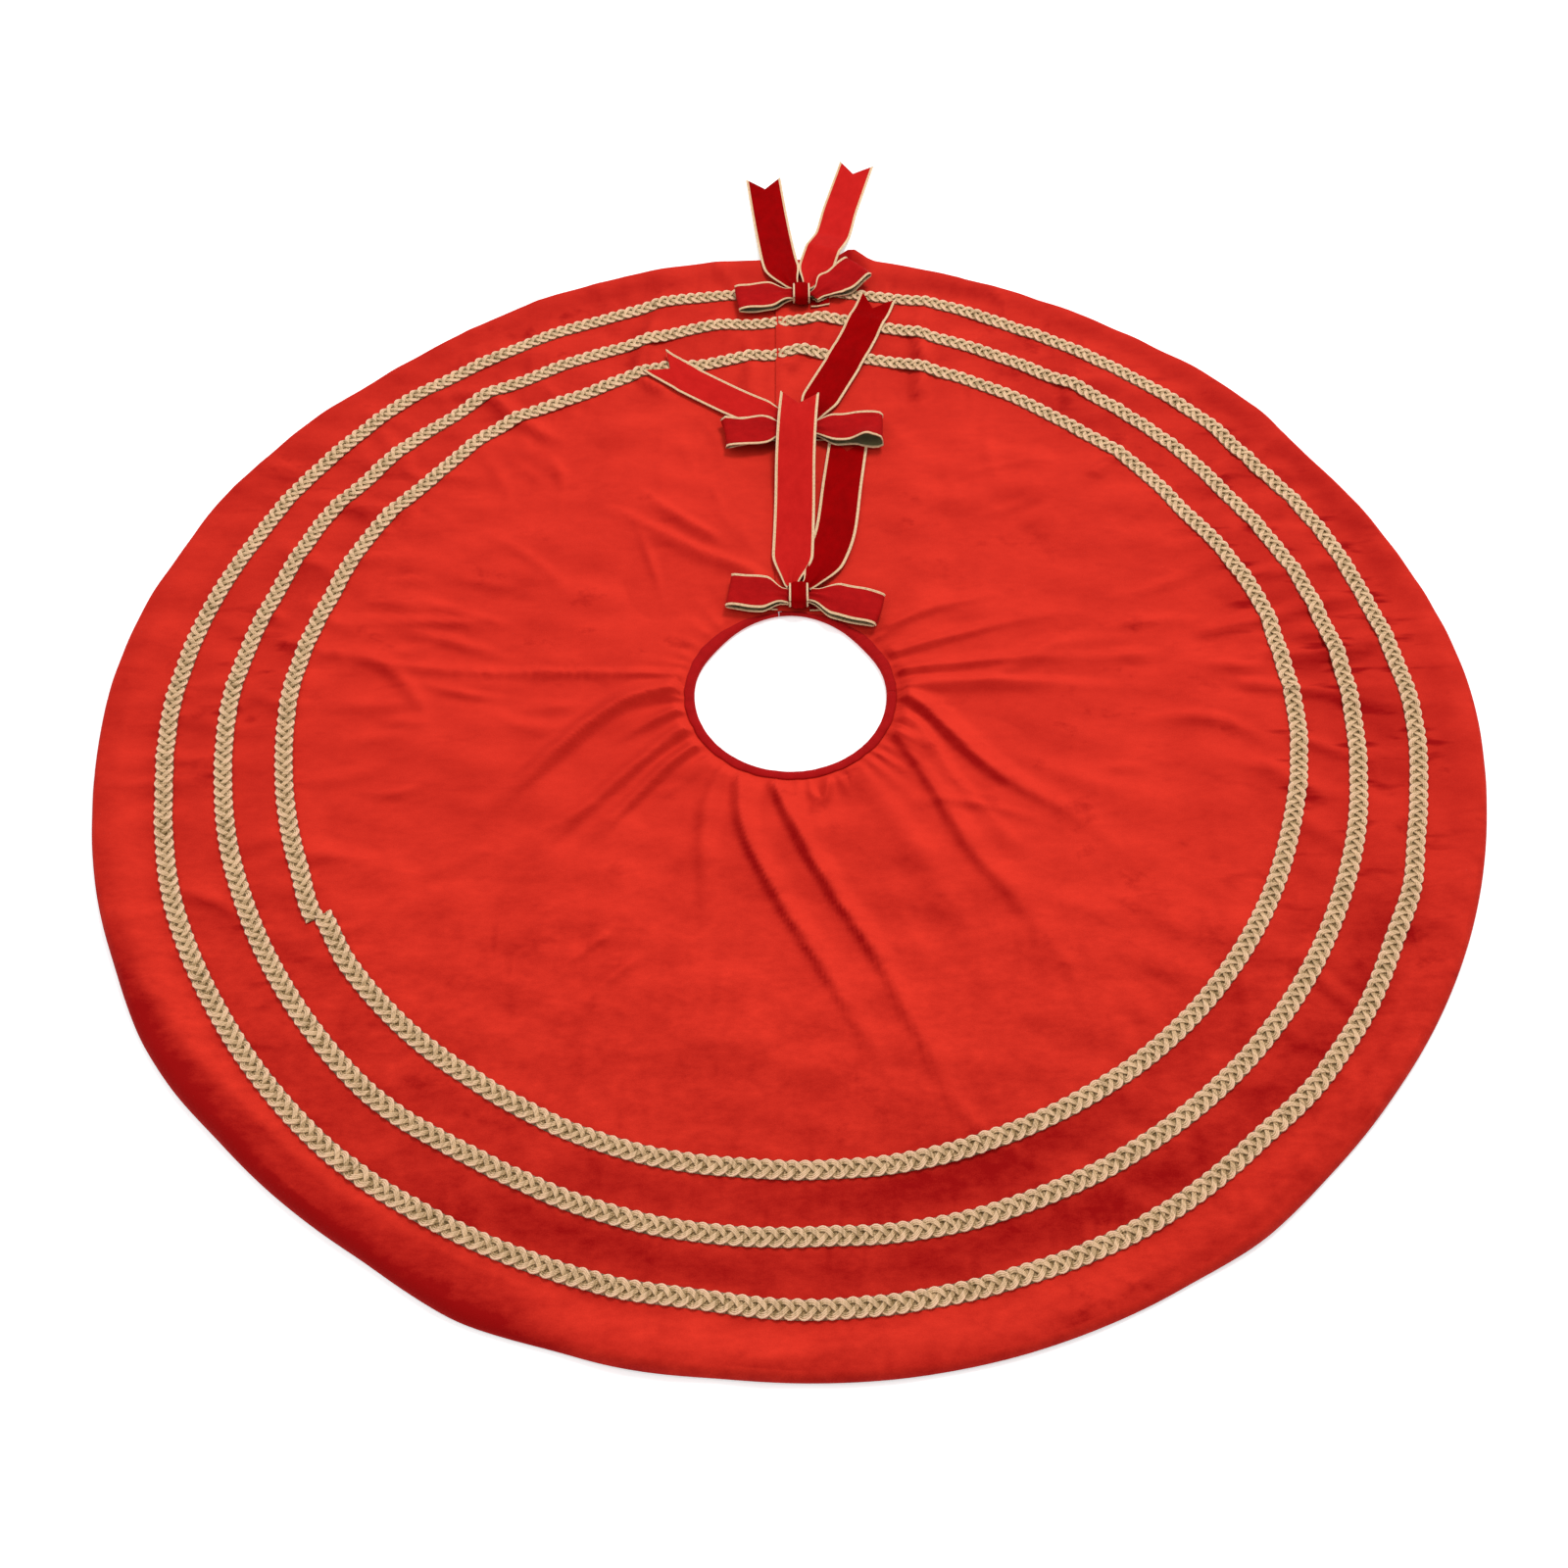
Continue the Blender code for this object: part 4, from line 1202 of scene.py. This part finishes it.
# Each bow's knot in plan, how far out its sewn ends lie, its loops as (azimuth, length), and the
# lines its tails run along as (x, y, height), with the finish that each tail shows: one tail of
# each bow has the ribbon's copy with painted light, the other its copy with painted shade
BOWS = {
    "neck_bow": {
        "knot": (0.008, 0.108),
        "root_y": 0.105,
        "loops": {"left": (-82.0, 0.052), "right": (106.0, 0.063)},
        "tails": {
            "left": [(0.003, 0.117, 0.0160), (0.001, 0.128, 0.0125), (0.003, 0.165, 0.0095),
                     (0.005, 0.225, 0.0095), (0.006, 0.285, 0.0180), (0.008, 0.330, 0.0250),
                     (0.011, 0.376, 0.0200)],
            "right": [(0.014, 0.117, 0.0150), (0.021, 0.128, 0.0120), (0.032, 0.155, 0.0090),
                      (0.044, 0.195, 0.0078), (0.052, 0.260, 0.0078), (0.060, 0.322, 0.0085)],
        },
        "faces": {"left": "ribbon_bright", "right": "ribbon_dark"},
    },
    "middle_bow": {
        "knot": (0.010, 0.330),
        "root_y": 0.330,
        "loops": {"left": (-98.0, 0.060), "right": (90.0, 0.070)},
        "tails": {
            "left": [(0.005, 0.338, 0.0120), (0.000, 0.346, 0.0090), (-0.026, 0.356, 0.0096),
                     (-0.056, 0.375, 0.0082), (-0.096, 0.403, 0.0080), (-0.139, 0.434, 0.0080)],
            "right": [(0.016, 0.338, 0.0120), (0.021, 0.348, 0.0090), (0.029, 0.371, 0.0090),
                      (0.042, 0.401, 0.0085), (0.058, 0.437, 0.0080), (0.077, 0.484, 0.0080),
                      (0.097, 0.537, 0.0080)],
        },
        "faces": {"left": "ribbon_bright", "right": "ribbon_dark"},
    },
    "hem_bow": {
        "knot": (0.014, 0.536),
        "root_y": 0.531,
        "loops": {"left": (-97.0, 0.056), "right": (49.0, 0.060)},
        "tails": {
            "left": [(0.009, 0.545, 0.0150), (0.002, 0.557, 0.0120), (-0.008, 0.590, 0.0088),
                     (-0.015, 0.640, 0.0045), (-0.022, 0.700, 0.0012), (-0.028, 0.754, 0.0012)],
            "right": [(0.018, 0.545, 0.0150), (0.024, 0.557, 0.0120), (0.033, 0.595, 0.0088),
                      (0.049, 0.645, 0.0050), (0.058, 0.690, 0.0030), (0.064, 0.716, 0.0022),
                      (0.080, 0.781, 0.0016)],
        },
        "faces": {"left": "ribbon_dark", "right": "ribbon_bright"},
    },
}


def build_tail(bow, side, points, face):
    """A tail from inside the knot to its notched end. It is gathered at the knot and opens to
    its full width."""
    name = f"{bow}_{side}_tail"
    line = curve_through(points, 90)
    travel = distances(line)
    gathered = GATHER_W * 0.8

    def widths(distance):
        return gathered + (RIBBON_W - gathered) * smooth(distance / TAIL_FULL_AT)

    line = above_cloth(line, widths(travel) / 2)
    piece = ribbon_piece(f"{name}_ribbon", line, widths, face, notch=NOTCH,
                         pleat=lambda d: 0.0017 * (1.0 - smooth(d / 0.060)))
    nodes = [name] + [n for n in (f"{name}_held",) if n in frame["nodes"]]
    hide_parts(*nodes)
    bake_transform(piece)


# How far the underside of a loop leans past its top, and where along it this begins
LOOP_LEAN = {"middle_bow_left_loop": (-0.0070, 0.0), "middle_bow_right_loop": (-0.0085, 0.66)}


def build_loop(bow, side, azimuth, length, face):
    """A loop: out along the top, round the tip and back along the bottom, gathered at the knot.
    The level side vector stays the same all the way, so the gold back is inside."""
    name = f"{bow}_{side}_loop"
    hinge = Vector(JOINTS[f"{name}_lift"]["pos_m"])
    base = np.array(hinge) - CENTRE
    away = np.append(plan_point(azimuth, 1.0), 0.0)
    inside = -0.35 * KNOT_SIZE[0] / length
    curl = 1.0 if name == "middle_bow_right_loop" else 0.0
    skew, opening = LOOP_LEAN.get(name, (0.0, 0.0))
    outline = [(inside, 0.0012), (0.00, 0.0022), (0.22, 0.0034), (0.50, 0.0036),
               (0.85, 0.0034 + 0.004 * curl), (0.97, 0.0022 + 0.004 * curl), (1.00, 0.0002),
               (0.97, -0.0018), (0.85, -0.0030), (0.50, -0.0030), (0.22, -0.0028),
               (0.00, -0.0016), (inside, -0.0008)]
    points = [base + away * length * out + np.array([0.0, 0.0, up]) for out, up in outline]
    line = curve_through(points, 120)
    reach = (line - base) @ away
    travel = distances(line)
    gathered = GATHER_W * 1.1
    opened = gathered + (RIBBON_W - gathered) * smooth(reach / (0.36 * length))
    half = len(line) // 2
    under = line[half:]
    lift = above_cloth(under, opened[half:] / 2, clear=0.0008)[:, 2] - under[:, 2]
    order = np.argsort(reach[half:])
    line[:, 2] += np.interp(reach, reach[half:][order], lift[order]) * smooth(reach / 0.006)
    below = smooth(travel / travel[-1] * 3.0 - 1.0)
    leaning = skew * below * smooth((reach / length - opening) / 0.45)
    line += np.outer(leaning, np.cross([0.0, 0.0, 1.0], away))

    def widths(distance):
        return np.interp(distance, travel, opened)

    def pleat(distance):
        return 0.0010 * (1.0 - smooth(np.interp(distance, travel, reach) / 0.030))

    def lifted(distance, share):
        top = bell(distance - 0.88 * length, 0.015)
        return curl * 0.0065 * top * smooth(share) + 0.0006 * np.sin(distance * 190.0 + share * 2)

    piece = ribbon_piece(f"{name}_ribbon", line, widths, face, side=np.cross(away, [0, 0, 1.0]),
                         pleat=pleat, edge_lift=lifted)
    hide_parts(name)
    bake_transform(piece)


def build_knot(bow, knot):
    """The ribbon wrapped over the knot: a rounded rectangle in the slit's own plane, carried
    across the knot with a crowned profile that closes at both sides, and creased lengthwise.
    A gold bead runs round it near each side."""
    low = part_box(f"{bow}_knot")[0].z
    centre = np.array([knot[0], knot[1], low + KNOT_SIZE[2] / 2])
    around = np.linspace(0.0, math.tau, 40, endpoint=False)
    shares = np.linspace(-1.0, 1.0, 17)
    squareness = 0.62      # 1 would make the section an ellipse, 0 a rectangle
    section_y = np.sign(np.cos(around)) * np.abs(np.cos(around)) ** squareness
    section_z = np.sign(np.sin(around)) * np.abs(np.sin(around)) ** squareness
    profile = np.clip(1.0 - np.abs(shares) ** 5.0, 0.0, 1.0) ** 0.5
    profile = np.maximum(profile * (0.93 + 0.07 * np.cos(shares * 2.2)), 0.02)
    creases = 1.0 - 0.045 * (0.5 + 0.5 * np.cos(shares[:, None] * 9.0 + 0.8 * np.sin(around)))
    scale = profile[:, None] * creases
    x = centre[0] + KNOT_SIZE[0] / 2 * shares[:, None] * np.ones(len(around))
    y = centre[1] + KNOT_SIZE[1] / 2 * section_y * scale
    z = centre[2] + KNOT_SIZE[2] / 2 * section_z * scale
    grid = np.dstack([x, y, z])
    faces = grid_faces(len(shares), len(around), ring=True)
    points = np.concatenate([grid.reshape(-1, 3), grid[0].mean(0)[None], grid[-1].mean(0)[None]])
    count = len(around)
    first = np.arange(count)
    last = (len(shares) - 1) * count + first
    ends = np.concatenate([
        np.stack([np.roll(first, -1), first, np.full(count, len(points) - 2)], axis=-1),
        np.stack([last, np.roll(last, -1), np.full(count, len(points) - 1)], axis=-1)])
    quads = np.concatenate([faces, np.column_stack([ends, ends[:, 2]])])
    turn = np.append(np.tile(around * 0.010, len(shares)), [0.0, 0.0])
    width = np.append(np.repeat(shares * 0.012, count), [0.0, 0.0])
    body = (points, quads, np.column_stack([turn, width]), np.zeros(len(quads)),
            np.full(len(points), 0.7))
    parts = [body]
    for share in (-0.80, 0.80):
        k = int(round((share + 1.0) / 2.0 * (len(shares) - 1)))
        out = (grid[k] - centre) * [0.0, 1.0, 1.0]
        line = grid[k] + unit(out) * 0.0004
        line[:, 0] = centre[0] + KNOT_SIZE[0] / 2 * share
        parts.append(bead(line, KNOT_BEAD_R, closed=True))
    piece = join_parts(f"{bow}_knot_wrap", parts, [FINISHES["ribbon_dark"], FINISHES["edge"]])
    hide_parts(f"{bow}_knot")
    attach(piece, "right_flap")


def build_root(bow, side, y):
    """The flat folded end of a ribbon, sewn down beside the slit."""
    name = f"{bow}_{side}_root"
    low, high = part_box(name)
    x = np.linspace(low.x, high.x, 24) - CENTRE[0]
    line = np.column_stack([x, np.full(len(x), y), np.full(len(x), (low.z + high.z) / 2)])
    width = high.y - low.y
    line = above_cloth(line, np.full(len(x), width / 2), clear=0.0006)
    piece = ribbon_piece(f"{name}_ribbon", line, lambda d: np.full(np.shape(d), width),
                         "ribbon_dark", camber=0.0002)
    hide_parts(name)
    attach(piece, "skirt" if side == "left" else "right_flap")
    "velvet_top_main" if side == "left" else "velvet_top_flap"


def build_bows():
    for bow, plan in BOWS.items():
        build_knot(bow, plan["knot"])
        for side, (azimuth, length) in plan["loops"].items():
            build_loop(bow, side, azimuth, length, "ribbon_loop")
        for side, points in plan["tails"].items():
            build_tail(bow, side, points, plan["faces"][side])
        for side in ("left", "right"):
            build_root(bow, side, plan["root_y"])


# The stage

def build_floor():
    floor_half = 6.0
    points = np.array([[-1, -1, 0], [1, -1, 0], [1, 1, 0], [-1, 1, 0]]) * floor_half
    floor = make_piece("floor", points, [[0, 1, 2, 3]], [plain_floor_finish()])


def area_light(name, place, aim, size, power):
    lamp = bpy.data.lights.new(name, "AREA")
    lamp.shape = "DISK"
    lamp.size = size
    lamp.energy = power
    light = bpy.data.objects.new(name, lamp)
    bpy.context.scene.collection.objects.link(light)
    light.location = place
    light.rotation_euler = (Vector(aim) - Vector(place)).to_track_quat("-Z", "Y").to_euler()


def build_stage():
    build_floor()
    area_light("key_light", (0.8, 1.5, 2.7), (0.0, 0.0, 0.0), 1.1, 56.0)
    area_light("fill_light", (-1.9, 0.0, 2.6), (0.0, 0.0, 0.0), 2.2, 14.0)
    world = bpy.data.worlds.new("soft_room")
    world.use_nodes = True
    background = world.node_tree.nodes["Background"]
    background.inputs["Color"].default_value = (1.0, 1.0, 1.0, 1.0)
    background.inputs["Strength"].default_value = 0.62
    bpy.context.scene.world = world
    bpy.context.scene.view_settings.view_transform = "Standard"


def build_camera():
    """Above and in front of the skirt, looking down at it."""
    camera = bpy.data.cameras.new("camera")
    camera.sensor_width = 36.0
    camera.lens = 39.49
    eye = bpy.data.objects.new("camera", camera)
    bpy.context.scene.collection.objects.link(eye)
    below_level = 54.84            # how steeply it looks down, in degrees
    roll = -0.0028
    tilt = math.radians(90.0 - below_level)
    turn = Euler((tilt, 0.0, 0.0)).to_matrix() @ Matrix.Rotation(roll, 3, "Z")
    place = (-0.0061, -1.0417, 1.2174)
    eye.matrix_world = Matrix.Translation(place) @ turn.to_4x4()
    bpy.context.scene.camera = eye


build_camera()
build_stage()
build_lining()
build_velvet()
build_binding()
build_braids()
build_bows()
